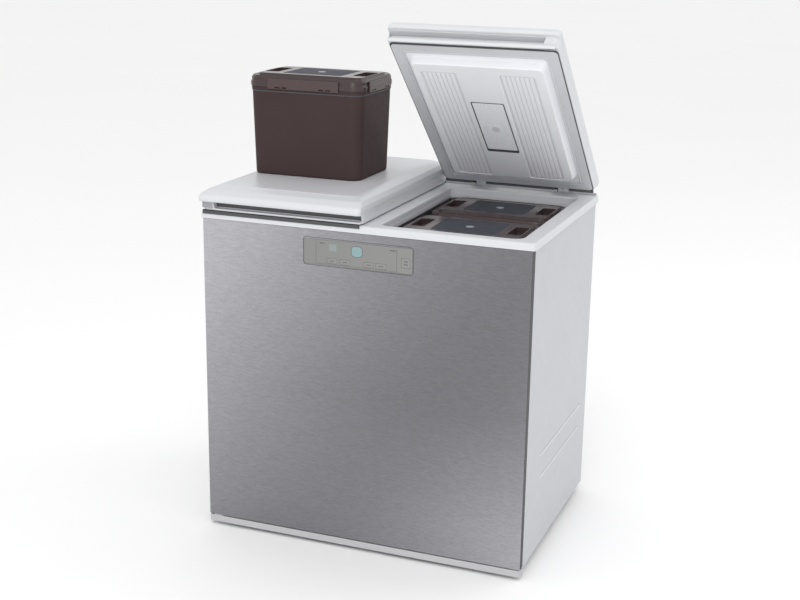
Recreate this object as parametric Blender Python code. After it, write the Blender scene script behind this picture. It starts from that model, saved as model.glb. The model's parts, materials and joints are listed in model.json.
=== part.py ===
"""A chest-type two-compartment food refrigerator with five storage containers.

Metres, +Z up, +X to the user's right, +Y to the rear. The origin is at the middle of the
footprint, on the floor. The left lid is closed and the right lid stands open. "depth" is the
distance behind the front panel's face; inside a lid, "u" runs from its hinge edge to its
front lip and "n" is the height above its inner face.
"""
import math

import bpy
import bmesh
from mathutils import Vector

# ---------------------------------------------------------------- driving dimensions
GAP = 0.0003                    # left between pieces that touch
FRONT = -0.2901                 # y of the front panel's face
HALF_WIDTH = 0.405              # outer case, side to side
CASE_DEPTH = 0.583
CASE_BOTTOM = 0.0253
CASE_TOP = 0.7857
SHEET = 0.0015                  # steel sheet of the case

FRAME_HALF_WIDTH = 0.410
FRAME_FRONT, FRAME_REAR = -0.002, 0.588
FRAME_BOTTOM, FRAME_TOP = 0.786, 0.8031

MOUTH_INNER, MOUTH_OUTER = 0.035, 0.3695       # each tub's mouth, from the middle outward
MOUTH_FRONT, MOUTH_REAR = 0.030, 0.530
MOUTH_RADIUS = 0.022
MOUTH_EDGE = 0.0040             # rounding of the frame's edge at each mouth
TUB_WALL = 0.0025
TUB_FLOOR = 0.2937              # top face of a tub's floor
TUB_TOP = FRAME_BOTTOM - GAP
TUB_FLANGE = 0.0085
COIL_SPACE = 0.010              # between a tub and the foam
COIL_MARGIN = 0.060             # from a tub's floor and flange to its coil
FOAM_BOTTOM = 0.225

PANEL_HALF_WIDTH = 0.404
PANEL_BOTTOM = 0.0270
PANEL_RETURN = 0.0205
PANEL_SKIN = 0.0012
CONTROL_LEFT, CONTROL_RIGHT = -0.1406, 0.1270
CONTROL_BOTTOM, CONTROL_TOP = 0.7030, 0.7627
KEY_TRAVEL = 0.001
KEYS = {                        # centre x, centre z, half width, half height
    "key_1": (-0.0701, 0.7145, 0.0125, 0.0060),
    "key_2": (-0.0376, 0.7145, 0.0125, 0.0060),
    "key_3": (0.0205, 0.7145, 0.0125, 0.0060),
    "key_4": (0.0511, 0.7145, 0.0125, 0.0060),
    "key_5": (0.1110, 0.7281, 0.0105, 0.0110),
}

AXIS_DEPTH, AXIS_HEIGHT = 0.586, 0.8467        # the lids' hinge line
LID_EDGE_DEPTH = 0.5825                        # u = 0 of a closed lid
LID_FACE_HEIGHT = 0.806                        # n = 0 of a closed lid
OPEN_ANGLE = math.radians(42.4)                # the right lid as it stands
LEFT_LID = (0.0030, -0.4095)                   # inner and outer ends
RIGHT_LID = (0.0060, 0.4090)
LID_WALL = 0.0025
LID_LENGTH = 0.598
LID_TOP = 0.0545
GRIP_HEIGHTS = (0.0045, 0.0198)                # n of the finger recess
GRIP_BACK = 0.5675
GRIP_BLOCK = 0.040                             # solid end of the recess, at the lid's outer end
LINER_EDGE = 0.5665
PLUG_INSET, PLUG_DEPTH = 0.0395, 0.017
PLUG_REAR, PLUG_FRONT = 0.0575, 0.5225
GASKET_WIDTH, GASKET_HEIGHT = 0.028, 0.0026
HINGES = (0.100, 0.320)                        # distance of each hinge from the middle
POCKET_HALF = 0.025
POCKET_FRONT = 0.566
COVER_PLATE = ((0.1675, 0.2435), (0.1750, 0.3765))   # deodoriser cover, x and u

BIN_HEIGHT = 0.2455             # a container with its lid
BIN_BASE = (0.286, 0.206)       # outside, at the bottom
BIN_MOUTH = (0.296, 0.213)      # outside, under the rim
BIN_RIM = (0.300, 0.217)
BIN_LID = (0.305, 0.222)
BIN_PLATEAU = (0.282, 0.160)    # raised middle of its lid
BIN_WALL = 0.0025
BIN_RIM_HEIGHT = 0.2150
BIN_LID_TOP = 0.2420
CLIP_LENGTHS = (0.1855, 0.1345)  # on the long and the short sides
CLIP_THICKNESS, CLIP_HEIGHT = 0.0035, 0.0245
FINGER_AT = 0.1165              # each finger pocket, from the lid's middle
TUB_MIDDLE = (MOUTH_INNER + MOUTH_OUTER) / 2
REAR_BIN_DEPTH = 0.4120
FRONT_BIN_DEPTH = 0.1760
LID_BIN = (-0.2350, 0.3090)     # x and depth of the container on the left lid

FOOT_AT = (0.372, 0.045)
ROLLER_AT = (0.365, 0.520)
ROLLER_RADIUS = 0.0120
ROLLER_HALF = 0.0090
EAR_OFFSET, EAR_HALF = 0.0115, 0.0012

ARC = 3                         # segments in a rounded corner


# ---------------------------------------------------------------- scene and materials
def clear_scene():
    """Removes whatever objects the file holds."""
    for item in list(bpy.data.objects):
        bpy.data.objects.remove(item, do_unlink=True)


FINISHES = {
    "white_plastic": ((0.75, 0.76, 0.79), 0.38, 0.0),
    "white_steel": ((0.66, 0.67, 0.70), 0.35, 0.0),
    "brushed_steel": ((0.42, 0.42, 0.44), 0.34, 0.9),
    "grey_plastic": ((0.55, 0.55, 0.57), 0.45, 0.0),
    "panel_grey": ((0.36, 0.36, 0.36), 0.30, 0.2),
    "key_grey": ((0.34, 0.34, 0.34), 0.35, 0.1),
    "gasket_rubber": ((0.56, 0.57, 0.60), 0.60, 0.0),
    "bin_brown": ((0.075, 0.058, 0.058), 0.32, 0.0),
    "clip_brown": ((0.085, 0.066, 0.064), 0.35, 0.0),
    "foam": ((0.82, 0.77, 0.55), 0.85, 0.0),
    "black_steel": ((0.03, 0.03, 0.03), 0.45, 0.4),
    "copper": ((0.60, 0.32, 0.20), 0.35, 1.0),
    "zinc_steel": ((0.55, 0.56, 0.58), 0.40, 0.8),
    "black_plastic": ((0.03, 0.03, 0.035), 0.50, 0.0),
    "board_green": ((0.04, 0.16, 0.07), 0.50, 0.0),
    "tub_metal": ((0.58, 0.59, 0.60), 0.32, 0.9),
}


def finish(name):
    """The Principled material of that name, made on first use."""
    made = bpy.data.materials.get(name)
    if made:
        return made
    color, roughness, metallic = FINISHES[name]
    made = bpy.data.materials.new(name)
    made.use_nodes = True
    shader = made.node_tree.nodes["Principled BSDF"]
    shader.inputs["Base Color"].default_value = (*color, 1.0)
    shader.inputs["Roughness"].default_value = roughness
    shader.inputs["Metallic"].default_value = metallic
    return made


def add(name, mesh, material, parent=None, origin=(0, 0, 0)):
    """Links a bmesh as an object whose origin is at that point of its parent's space."""
    bmesh.ops.recalc_face_normals(mesh, faces=mesh.faces)
    bmesh.ops.translate(mesh, verts=mesh.verts, vec=-Vector(origin))
    data = bpy.data.meshes.new(name)
    mesh.to_mesh(data)
    mesh.free()
    data.materials.append(finish(material))
    data.shade_smooth()
    data.set_sharp_from_angle(angle=math.radians(32))
    item = bpy.data.objects.new(name, data)
    item.location = origin
    item.parent = parent
    bpy.context.scene.collection.objects.link(item)
    return item


def empty(name, location, parent=None, rotation=(0, 0, 0)):
    """An empty on a joint's axis."""
    item = bpy.data.objects.new(name, None)
    item.location = location
    item.rotation_euler = rotation
    item.parent = parent
    bpy.context.scene.collection.objects.link(item)
    return item


def combine(item, tool, operation):
    """Leaves a Boolean of that kind on an object and hides its tool."""
    tool.hide_render = True
    tool.display_type = "WIRE"
    modifier = item.modifiers.new(operation.lower(), "BOOLEAN")
    modifier.operation = operation
    modifier.object = tool


def cut(item, mesh, parent=None):
    """Subtracts a bmesh from an object."""
    combine(item, add(item.name + "_cutter", mesh, "zinc_steel", parent), "DIFFERENCE")


def join(item, mesh, parent=None):
    """Fuses a bmesh to an object."""
    combine(item, add(item.name + "_addition", mesh, "zinc_steel", parent), "UNION")


# ---------------------------------------------------------------- outlines and solids
def placed(axis, level, a, b):
    """A point from its level along one axis and the two other coordinates, in order."""
    point = [a, b]
    point.insert("XYZ".index(axis), level)
    return Vector(point)


def loop(axis, level, a, b, radius=0.0, arc=ARC):
    """A rounded rectangle across an axis, between (low, high) pairs a and b."""
    low_a, high_a = min(a), max(a)
    low_b, high_b = min(b), max(b)
    radius = max(radius, 1e-5)
    corners = (
        (high_a - radius, high_b - radius, 0),
        (low_a + radius, high_b - radius, 1),
        (low_a + radius, low_b + radius, 2),
        (high_a - radius, low_b + radius, 3),
    )
    points = []
    for centre_a, centre_b, quarter in corners:
        for step in range(arc + 1):
            turn = math.pi / 2 * (quarter + step / arc)
            across = centre_a + radius * math.cos(turn)
            along = centre_b + radius * math.sin(turn)
            points.append(placed(axis, level, across, along))
    return points


def ring(axis, level, centre, radius, count=20):
    """A circle across an axis."""
    points = []
    for step in range(count):
        turn = 2 * math.pi * step / count
        across = centre[0] + radius * math.cos(turn)
        along = centre[1] + radius * math.sin(turn)
        points.append(placed(axis, level, across, along))
    return points


def skin(*loops, closed=False):
    """A bmesh through loops of equal length: capped at both ends, or closed on itself."""
    mesh = bmesh.new()
    rows = [[mesh.verts.new(point) for point in points] for points in loops]
    pairs = list(zip(rows, rows[1:]))
    if closed:
        pairs.append((rows[-1], rows[0]))
    for one, two in pairs:
        for i in range(len(one)):
            j = (i + 1) % len(one)
            mesh.faces.new((one[i], one[j], two[j], two[i]))
    if not closed:
        mesh.faces.new(rows[0])
        mesh.faces.new(rows[-1])
    return mesh


def block(x, y, z, radius=0.0, arc=3):
    """A box between (low, high) pairs, with upright edges rounded to the radius."""
    if radius:
        return skin(loop("Z", min(z), x, y, radius, arc), loop("Z", max(z), x, y, radius, arc))
    low = Vector((min(x), min(y), min(z)))
    size = Vector((max(x), max(y), max(z))) - low
    mesh = bmesh.new()
    bmesh.ops.create_cube(mesh, size=1.0)
    for vert in mesh.verts:
        vert.co = low + Vector((vert.co[i] + 0.5) * size[i] for i in range(3))
    return mesh


def turned(axis, centre, profile, count=20):
    """A solid of rings given as (level, radius) pairs along an axis."""
    return skin(*[ring(axis, level, centre, radius, count) for level, radius in profile])


def tube(points, radius, sides=8):
    """A round bar that follows a list of points, with flat ends."""
    loops = []
    normal = None
    for i, point in enumerate(points):
        before = points[max(i - 1, 0)]
        after = points[min(i + 1, len(points) - 1)]
        along = (after - before).normalized()
        if normal is None:
            normal = along.orthogonal().normalized()
        normal = (normal - along * normal.dot(along)).normalized()
        other = along.cross(normal)
        turns = [2 * math.pi * k / sides for k in range(sides)]
        loops.append([point + radius * (normal * math.cos(t) + other * math.sin(t)) for t in turns])
    return skin(*loops)


def merge(*meshes):
    """Several closed shells in one bmesh, for cutters that don't touch."""
    whole = bmesh.new()
    for mesh in meshes:
        data = bpy.data.meshes.new("scratch")
        mesh.to_mesh(data)
        mesh.free()
        whole.from_mesh(data)
        bpy.data.meshes.remove(data)
    return whole


def about(centre, half):
    """The (low, high) pair around a centre."""
    return (centre - half, centre + half)


def deep(*depths):
    """Depths behind the front panel as y."""
    return tuple(FRONT + depth for depth in depths)


# ---------------------------------------------------------------- cabinet
def outer_case():
    """Steel wrap: both sides and the back in one sheet, open at the front."""
    radius = 0.008
    inner = radius - SHEET
    turns = [math.pi / 2 * step / 4 for step in range(5)]
    front, rear = deep(PANEL_RETURN + GAP, CASE_DEPTH)

    def side(half, bend, back):
        corner = (half - bend, back - bend)
        bent = [(corner[0] + bend * math.cos(t), corner[1] + bend * math.sin(t)) for t in turns]
        return [(half, front), *bent]

    outside = side(HALF_WIDTH, radius, rear)
    inside = side(HALF_WIDTH - SHEET, inner, rear - SHEET)
    outline = outside + [(-x, y) for x, y in reversed(outside)]
    outline += [(-x, y) for x, y in inside] + list(reversed(inside))
    loops = [[Vector((x, y, z)) for x, y in outline] for z in (CASE_BOTTOM, CASE_TOP)]
    case = add("outer_case", skin(*loops), "white_steel")
    cut(case, block(about(0, 0.360), deep(CASE_DEPTH - 0.01, CASE_DEPTH + 0.01), (0.045, 0.212)))


def front_panel():
    """Brushed steel pan with folded edges and a window for the control panel."""
    wide, tall = about(0, PANEL_HALF_WIDTH), (PANEL_BOTTOM, CASE_TOP)

    def pan(depth, inset, radius):
        a = (wide[0] + inset, wide[1] - inset)
        b = (tall[0] + inset, tall[1] - inset)
        return loop("Y", FRONT + depth, a, b, radius, 3)

    panel = add(
        "front_panel",
        skin(
            pan(PANEL_SKIN, PANEL_SKIN, 0.002),
            pan(PANEL_RETURN, PANEL_SKIN, 0.002),
            pan(PANEL_RETURN, 0, 0.003),
            pan(0.0020, 0, 0.003),
            pan(0.0006, 0.0006, 0.003),
            pan(0, 0.0020, 0.003),
        ),
        "brushed_steel",
    )
    x = (CONTROL_LEFT, CONTROL_RIGHT)
    z = (CONTROL_BOTTOM, CONTROL_TOP)
    levels = deep(-0.01, 0.01)
    cut(panel, skin(*[loop("Y", level, x, z, 0.0055, 4) for level in levels]))


def top_frame():
    """Moulded frame round both tub mouths."""
    x, y = about(0, FRAME_HALF_WIDTH), deep(FRAME_FRONT, FRAME_REAR)

    def edge(z, inset):
        return loop("Z", z, (x[0] + inset, x[1] - inset), (y[0] + inset, y[1] - inset), 0.008, 4)

    frame = add(
        "top_frame",
        skin(
            edge(FRAME_BOTTOM, 0),
            edge(FRAME_TOP - 0.005, 0),
            edge(FRAME_TOP - 0.0015, 0.0015),
            edge(FRAME_TOP, 0.005),
        ),
        "white_plastic",
    )
    mouths = []
    for side in (-1, 1):
        x = (side * MOUTH_INNER, side * MOUTH_OUTER)
        y = deep(MOUTH_FRONT, MOUTH_REAR)

        def mouth(z, out):
            wide = (min(x) - out, max(x) + out)
            return loop("Z", z, wide, (y[0] - out, y[1] + out), MOUTH_RADIUS + out)

        mouths.append(
            skin(
                mouth(FRAME_BOTTOM - 0.01, 0),
                mouth(FRAME_TOP - MOUTH_EDGE, 0),
                mouth(FRAME_TOP - 0.3 * MOUTH_EDGE, 0.3 * MOUTH_EDGE),
                mouth(FRAME_TOP, MOUTH_EDGE),
                mouth(FRAME_TOP + 0.01, MOUTH_EDGE),
            )
        )
    cut(frame, merge(*mouths))


def tub(name, side):
    """Food-grade liner of one compartment, with a flange under the top frame."""
    ease = 0.0005

    def wall(z, out, radius):
        x = (MOUTH_INNER - ease - out, MOUTH_OUTER + ease + out)
        y = deep(MOUTH_FRONT - ease - out, MOUTH_REAR + ease + out)
        return loop("Z", z, (side * x[0], side * x[1]), y, radius)

    radius = MOUTH_RADIUS + ease
    add(
        name,
        skin(
            wall(TUB_FLOOR, -0.010, 0.014),
            wall(TUB_FLOOR + 0.003, -0.003, 0.020),
            wall(TUB_FLOOR + 0.010, 0, radius),
            wall(TUB_TOP, 0, radius),
            wall(TUB_TOP, TUB_FLANGE, radius + TUB_FLANGE),
            wall(TUB_TOP - TUB_WALL, TUB_FLANGE, radius + TUB_FLANGE),
            wall(TUB_TOP - TUB_WALL, TUB_WALL, radius + TUB_WALL),
            wall(TUB_FLOOR + 0.009, TUB_WALL, radius + TUB_WALL),
            wall(TUB_FLOOR + 0.001, -0.001, 0.021),
            wall(TUB_FLOOR - TUB_WALL, -0.010, 0.014),
        ),
        "tub_metal",
    )


def foam_insulation():
    """Foam between the case and the tubs, with the space that the coils lie in."""
    x = about(0, PANEL_HALF_WIDTH - PANEL_SKIN - GAP)
    y = deep(PANEL_SKIN + GAP, CASE_DEPTH - SHEET - GAP)
    top = TUB_TOP - TUB_WALL - GAP
    foam = add("foam_insulation", block(x, y, (FOAM_BOTTOM, top), 0.0065), "foam")

    def space(side, z, out):
        wide = (side * (MOUTH_INNER - out), side * (MOUTH_OUTER + out))
        long = deep(MOUTH_FRONT - out, MOUTH_REAR + out)
        return loop("Z", z, wide, long, MOUTH_RADIUS + out)

    near, far = TUB_WALL + 0.0005 + GAP, TUB_WALL + COIL_SPACE
    low, high = TUB_FLOOR - TUB_WALL - GAP, TUB_TOP - COIL_MARGIN + 0.010
    heights = ((low, near), (low + 0.040, near), (low + 0.050, far), (high, far),
               (high + 0.010, near), (top + 0.010, near))
    spaces = [skin(*[space(side, z, out) for z, out in heights]) for side in (-1, 1)]
    cut(foam, merge(*spaces))
    board = block(
        (CONTROL_LEFT - 0.006, CONTROL_RIGHT + 0.006),
        deep(-0.01, 0.0140),
        (CONTROL_BOTTOM - 0.006, CONTROL_TOP + 0.006),
    )
    cut(foam, board)


def base_plate():
    """Pressed floor of the machine room, with two ears for each rear roller."""
    x = about(0, HALF_WIDTH - SHEET - GAP)
    y = deep(PANEL_RETURN + 0.002, CASE_DEPTH - SHEET - GAP)
    z = (CASE_BOTTOM, CASE_BOTTOM + 0.0035)
    plate = add("base_plate", block(x, y, z, 0.0065), "zinc_steel")
    holes = []
    for side in (-1, 1):
        roller = side * ROLLER_AT[0]
        for offset in (-EAR_OFFSET, EAR_OFFSET):
            ear = block(about(roller + offset, EAR_HALF), deep(*about(ROLLER_AT[1], 0.008)), (0.0055, z[0] + 0.001))
            join(plate, ear)
        axle = (FRONT + ROLLER_AT[1], ROLLER_RADIUS)
        holes.append(turned("X", axle, ((roller - 0.02, 0.0034), (roller + 0.02, 0.0034)), 12))
        foot = (side * FOOT_AT[0], FRONT + FOOT_AT[1])
        holes.append(turned("Z", foot, ((z[0] - 0.01, 0.0068), (z[1] + 0.01, 0.0068)), 12))
    cut(plate, merge(*holes))


def base_trim():
    """Plinth strip below the front panel, returning a little along each side."""
    low, high = 0.0088, CASE_BOTTOM - GAP
    wall = 0.0025
    y = deep(0, wall, 0.020)
    half = HALF_WIDTH
    outline = [
        (-half, y[2]), (-half, y[0] + 0.006), (-half + 0.006, y[0]),
        (half - 0.006, y[0]), (half, y[0] + 0.006), (half, y[2]),
        (half - wall, y[2]), (half - wall, y[0] + 0.007), (half - 0.007, y[1]),
        (-half + 0.007, y[1]), (-half + wall, y[0] + 0.007), (-half + wall, y[2]),
    ]
    loops = [[Vector((px, py, z)) for px, py in outline] for z in (low, high)]
    add("base_trim", skin(*loops), "grey_plastic")


def machine_room_cover():
    """Louvred rear cover with the boss of the power inlet."""
    half, z = 0.372, (0.035, 0.222)
    y = deep(CASE_DEPTH + GAP, CASE_DEPTH + 0.0023)
    cover = add("machine_room_cover", block(about(0, half), y, z), "grey_plastic")
    boss = turned("Y", (-0.300, 0.080), ((y[0], 0.014), (y[1] + 0.005, 0.0125)), 16)
    join(cover, boss)
    slots = []
    for column in (-0.13, 0.02, 0.17):
        for row in range(6):
            level = 0.078 + 0.022 * row
            slots.append(block(about(column, 0.058), (y[0] - 0.01, y[1] + 0.01), about(level, 0.0035)))
    hole = turned("Y", (-0.300, 0.080), ((y[0] - 0.01, 0.0055), (y[1] + 0.01, 0.0055)), 12)
    cut(cover, merge(hole, *slots))


# ---------------------------------------------------------------- cooling circuit
def compressor():
    """Hermetic compressor: a domed pot on a flange with rubber feet."""
    centre = (0.190, FRONT + 0.420)
    base = CASE_BOTTOM + 0.0035 + GAP
    profile = (
        (base, 0.060), (base + 0.010, 0.078), (base + 0.070, 0.082), (base + 0.074, 0.085),
        (base + 0.080, 0.085), (base + 0.084, 0.081), (base + 0.120, 0.076),
        (base + 0.142, 0.058), (base + 0.152, 0.030), (base + 0.154, 0.004),
    )
    pot = add("compressor", turned("Z", centre, profile, 20), "black_steel")
    for side in (-1, 1):
        x = about(centre[0] + side * 0.066, 0.034)
        join(pot, block(x, about(centre[1], 0.085), (base, base + 0.008), 0.01))
    terminal = block(about(centre[0], 0.024), (centre[1] + 0.066, centre[1] + 0.100), (base + 0.05, base + 0.10))
    join(pot, terminal)


def serpentine(x_pair, rows, turn):
    """Points of a flat tube that runs to and fro between two x values."""
    points = []
    for i, (y, z) in enumerate(rows):
        ends = x_pair if i % 2 == 0 else tuple(reversed(x_pair))
        for end in ends:
            points.append(Vector((end, y, z)))
        if i + 1 < len(rows):
            ny, nz = rows[i + 1]
            bulge = turn if ends[1] == max(x_pair) else -turn
            points.append(Vector((ends[1] + bulge, (y + ny) / 2, (z + nz) / 2)))
    return points


def condenser_coil():
    """Tube condenser that stands across the machine room, in front of the fan."""
    rows = [(FRONT + 0.230, 0.055 + 0.026 * i) for i in range(6)]
    add("condenser_coil", tube(serpentine((-0.330, -0.040), rows, 0.010), 0.0032), "copper")


def evaporator_coil(name, side):
    """Tube wound round one tub in the foam's space."""
    out = TUB_WALL + 0.0005 + COIL_SPACE / 2
    x = (side * (MOUTH_INNER - out), side * (MOUTH_OUTER + out))
    y = deep(MOUTH_FRONT - out, MOUTH_REAR + out)
    turns, low, high = 4, TUB_FLOOR + COIL_MARGIN, TUB_TOP - COIL_MARGIN
    lap = loop("Z", 0.0, x, y, MOUTH_RADIUS + out, 3)
    count = turns * len(lap)
    points = []
    for i in range(count + 1):
        point = lap[i % len(lap)]
        points.append(Vector((point.x, point.y, low + (high - low) * i / count)))
    add(name, tube(points, 0.0032, 5), "copper")


def fan_unit():
    """Condenser fan: a motor on a foot, and the blades that it turns about Y."""
    centre = (-0.185, 0.118)
    motor_y = deep(0.300, 0.345)
    motor = add(
        "fan_motor",
        turned("Y", centre, ((motor_y[0], 0.020), (motor_y[0] + 0.004, 0.024), (motor_y[1], 0.024)), 16),
        "black_steel",
    )
    plate = CASE_BOTTOM + 0.0035 + GAP
    join(motor, block(about(centre[0], 0.012), (motor_y[0] + 0.010, motor_y[1] - 0.008), (plate, centre[1])))
    join(motor, block(about(centre[0], 0.040), (motor_y[0] + 0.004, motor_y[1] + 0.004), (plate, plate + 0.004)))
    hub_y = (motor_y[0] - 0.0205, motor_y[0] - 0.0015)
    axle = empty("condenser_fan_axis", (centre[0], hub_y[0], centre[1]))
    hub = turned("Y", (0, 0), ((0, 0.014), (0.003, 0.016), (hub_y[1] - hub_y[0], 0.016)), 16)
    fan = add("condenser_fan", hub, "black_plastic", axle)
    for blade in range(5):
        join(fan, fan_blade(2 * math.pi * blade / 5), axle)


def fan_blade(turn):
    """One pitched blade, from inside the hub to the tip."""
    loops = []
    for radius, half, pitch in ((0.012, 0.0135, 0.0055), (0.045, 0.017, 0.0065), (0.074, 0.019, 0.0055)):
        points = []
        for side, skew in ((-1, -1), (1, 1)):
            for face in ((-0.0008, 0.0008) if side < 0 else (0.0008, -0.0008)):
                across = side * half
                points.append((radius, across, 0.0095 + skew * pitch + face))
        turned_points = []
        for r, a, level in points:
            x = r * math.cos(turn) - a * math.sin(turn)
            z = r * math.sin(turn) + a * math.cos(turn)
            turned_points.append(Vector((x, level, z)))
        loops.append(turned_points)
    return skin(*loops)


# ---------------------------------------------------------------- control panel
def control_panel():
    """Display panel with an opening for each key."""
    x = (CONTROL_LEFT + GAP, CONTROL_RIGHT - GAP)
    z = (CONTROL_BOTTOM + GAP, CONTROL_TOP - GAP)

    def face(depth, inset):
        a, b = (x[0] + inset, x[1] - inset), (z[0] + inset, z[1] - inset)
        return loop("Y", FRONT + depth, a, b, 0.005, 4)

    panel = add(
        "control_panel",
        skin(face(0.0036, 0), face(0.0002, 0), face(-0.0004, 0.0006)),
        "panel_grey",
    )
    openings = []
    for x_mid, z_mid, half_x, half_z in KEYS.values():
        a, b = about(x_mid, half_x + 0.0004), about(z_mid, half_z + 0.0004)
        openings.append(skin(*[loop("Y", y, a, b, 0.0014, 2) for y in deep(-0.01, 0.01)]))
    cut(panel, merge(*openings))


def control_board():
    """Circuit board behind the keys."""
    x = (CONTROL_LEFT + 0.004, CONTROL_RIGHT - 0.004)
    z = (CONTROL_BOTTOM + 0.004, CONTROL_TOP - 0.004)
    add("control_board", block(x, deep(0.0080, 0.0096), z), "board_green")


def keys():
    """Five key caps, each with a stem that stops short of the board by its travel."""
    for name, (x_mid, z_mid, half_x, half_z) in KEYS.items():
        a, b = about(x_mid, half_x), about(z_mid, half_z)
        stem_a, stem_b = about(x_mid, 0.003), about(z_mid, 0.003)
        origin = (x_mid, FRONT, z_mid)
        mesh = skin(
            loop("Y", FRONT - 0.0004, a, b, 0.0014, 2),
            loop("Y", FRONT + 0.0018, a, b, 0.0014, 2),
            loop("Y", FRONT + 0.0018, stem_a, stem_b, 0.001, 2),
            loop("Y", FRONT + 0.0080 - KEY_TRAVEL - GAP, stem_a, stem_b, 0.001, 2),
        )
        add(name, mesh, "key_grey", None, origin)


# ---------------------------------------------------------------- feet and rollers
def front_foot(name, side):
    """Levelling foot: a pad with a threaded stem that runs in the base plate."""
    centre = (side * FOOT_AT[0], FRONT + FOOT_AT[1])
    profile = ((0, 0.0165), (0.0012, 0.0180), (0.0105, 0.0180), (0.0125, 0.0165),
               (0.0125, 0.0060), (0.0470, 0.0060))
    add(name, turned("Z", centre, profile, 16), "grey_plastic", None, (*centre, 0))


def rear_roller(name, side):
    """Small wheel between the base plate's ears, with its axle stubs."""
    centre = (FRONT + ROLLER_AT[1], ROLLER_RADIUS)
    x = side * ROLLER_AT[0]
    half, stub, rim, radius = ROLLER_HALF, ROLLER_HALF + 0.0045, ROLLER_HALF - 0.0012, ROLLER_RADIUS
    profile = ((x - stub, 0.0030), (x - half, 0.0030), (x - half, radius - 0.0012), (x - rim, radius),
               (x + rim, radius), (x + half, radius - 0.0012), (x + half, 0.0030), (x + stub, 0.0030))
    add(name, turned("X", centre, profile, 20), "black_plastic", None, (x, *centre))


# ---------------------------------------------------------------- lids
def lid_y(u):
    """y, from the hinge line, of a point u in front of a closed lid's hinge edge."""
    return LID_EDGE_DEPTH - u - AXIS_DEPTH


def lid_z(n):
    """z, from the hinge line, of a point n above a closed lid's inner face."""
    return LID_FACE_HEIGHT + n - AXIS_HEIGHT


class Lid:
    """One lid's shared outlines, in the space of the empty on its hinge line."""

    def __init__(self, name, ends, angle):
        self.name = name
        self.inner, self.outer = ends
        self.side = 1 if self.outer > self.inner else -1
        location = (0, FRONT + AXIS_DEPTH, AXIS_HEIGHT)
        self.axis = empty(name + "_axis", location, None, (-angle, 0, 0))

    def across(self, from_inner, from_outer):
        """x pair inset from the lid's inner and outer ends."""
        return (self.inner + self.side * from_inner, self.outer - self.side * from_outer)

    def outline(self, n, inset, rear, front, radius):
        """Rounded rectangle at height n: inset at both ends, u from rear to front."""
        pair = inset if isinstance(inset, tuple) else (inset, inset)
        return loop("Z", lid_z(n), self.across(*pair), (lid_y(front), lid_y(rear)), radius)

    def add(self, part, mesh, material):
        return add(f"{self.name}_{part}", mesh, material, self.axis)

    def x(self, distance):
        return self.side * distance

    def pockets(self, ease, low):
        """Cutters for the two hinge pockets."""
        tools = []
        for distance in HINGES:
            x = about(self.x(distance), POCKET_HALF + ease)
            y = (POCKET_FRONT - ease - AXIS_DEPTH, 0.060)
            tools.append(block(x, y, (lid_z(low), lid_z(0.0515 + ease))))
        return merge(*tools)


def lid_cover(lid):
    """Outer moulding with a sloping border, a front lip and a finger recess under it."""
    out = lid.outline
    wall = LID_WALL
    mesh = skin(
        out(LID_TOP - wall, 0.036, 0.012, 0.539, 0.012),
        out(0.0480 - wall, 0.0165 + wall, -0.003, 0.564, 0.010),
        out(0.0390 - wall, 0.0045 + wall, -0.0085, 0.590, 0.008),
        out(0.0315 - wall, wall, -0.0105, 0.5950, 0.006),
        out(0.0240, wall, -0.0105, 0.5925, 0.006),
        out(0.0236, wall, -0.0105, GRIP_BACK - 0.003, 0.006),
        out(0.0180, (0.0005 + wall, 0.001 + wall), -0.0105, GRIP_BACK - 0.003, 0.006),
        out(0.0040, (0.0013 + wall, 0.0028 + wall), 0.0020, GRIP_BACK - 0.003, 0.006),
        out(0.0000, (0.0015 + wall, 0.0035 + wall), 0.0035, LINER_EDGE, 0.006),
        out(0.0000, (0.0015, 0.0035), 0.0000, 0.5825, 0.008),
        out(0.0010, (0.0014, 0.0033), -0.0006, 0.5835, 0.008),
        out(0.0180, (0.0005, 0.0010), -0.0130, 0.5845, 0.008),
        out(0.0202, (0.0003, 0.0006), -0.0132, 0.5860, 0.008),
        out(0.0208, (0.0002, 0.0003), -0.0132, 0.5930, 0.008),
        out(0.0235, 0.0, -0.0132, 0.5950, 0.008),
        out(0.0330, 0.0, -0.0132, LID_LENGTH, 0.008),
        out(0.0400, 0.0030, -0.0115, 0.5940, 0.010),
        out(0.0490, 0.0165, -0.0060, 0.5670, 0.012),
        out(0.0530, 0.0300, 0.0060, 0.5450, 0.014),
        out(LID_TOP, 0.0360, 0.0120, 0.5390, 0.014),
    )
    cover = lid.add("cover", mesh, "white_plastic")
    recess = block(
        lid.across(0.0030, GRIP_BLOCK),
        (lid_y(0.6050), lid_y(GRIP_BACK)),
        (lid_z(GRIP_HEIGHTS[0]), lid_z(GRIP_HEIGHTS[1])),
    )
    cut(cover, recess, lid.axis)
    cut(cover, lid.pockets(0, -0.010), lid.axis)


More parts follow.
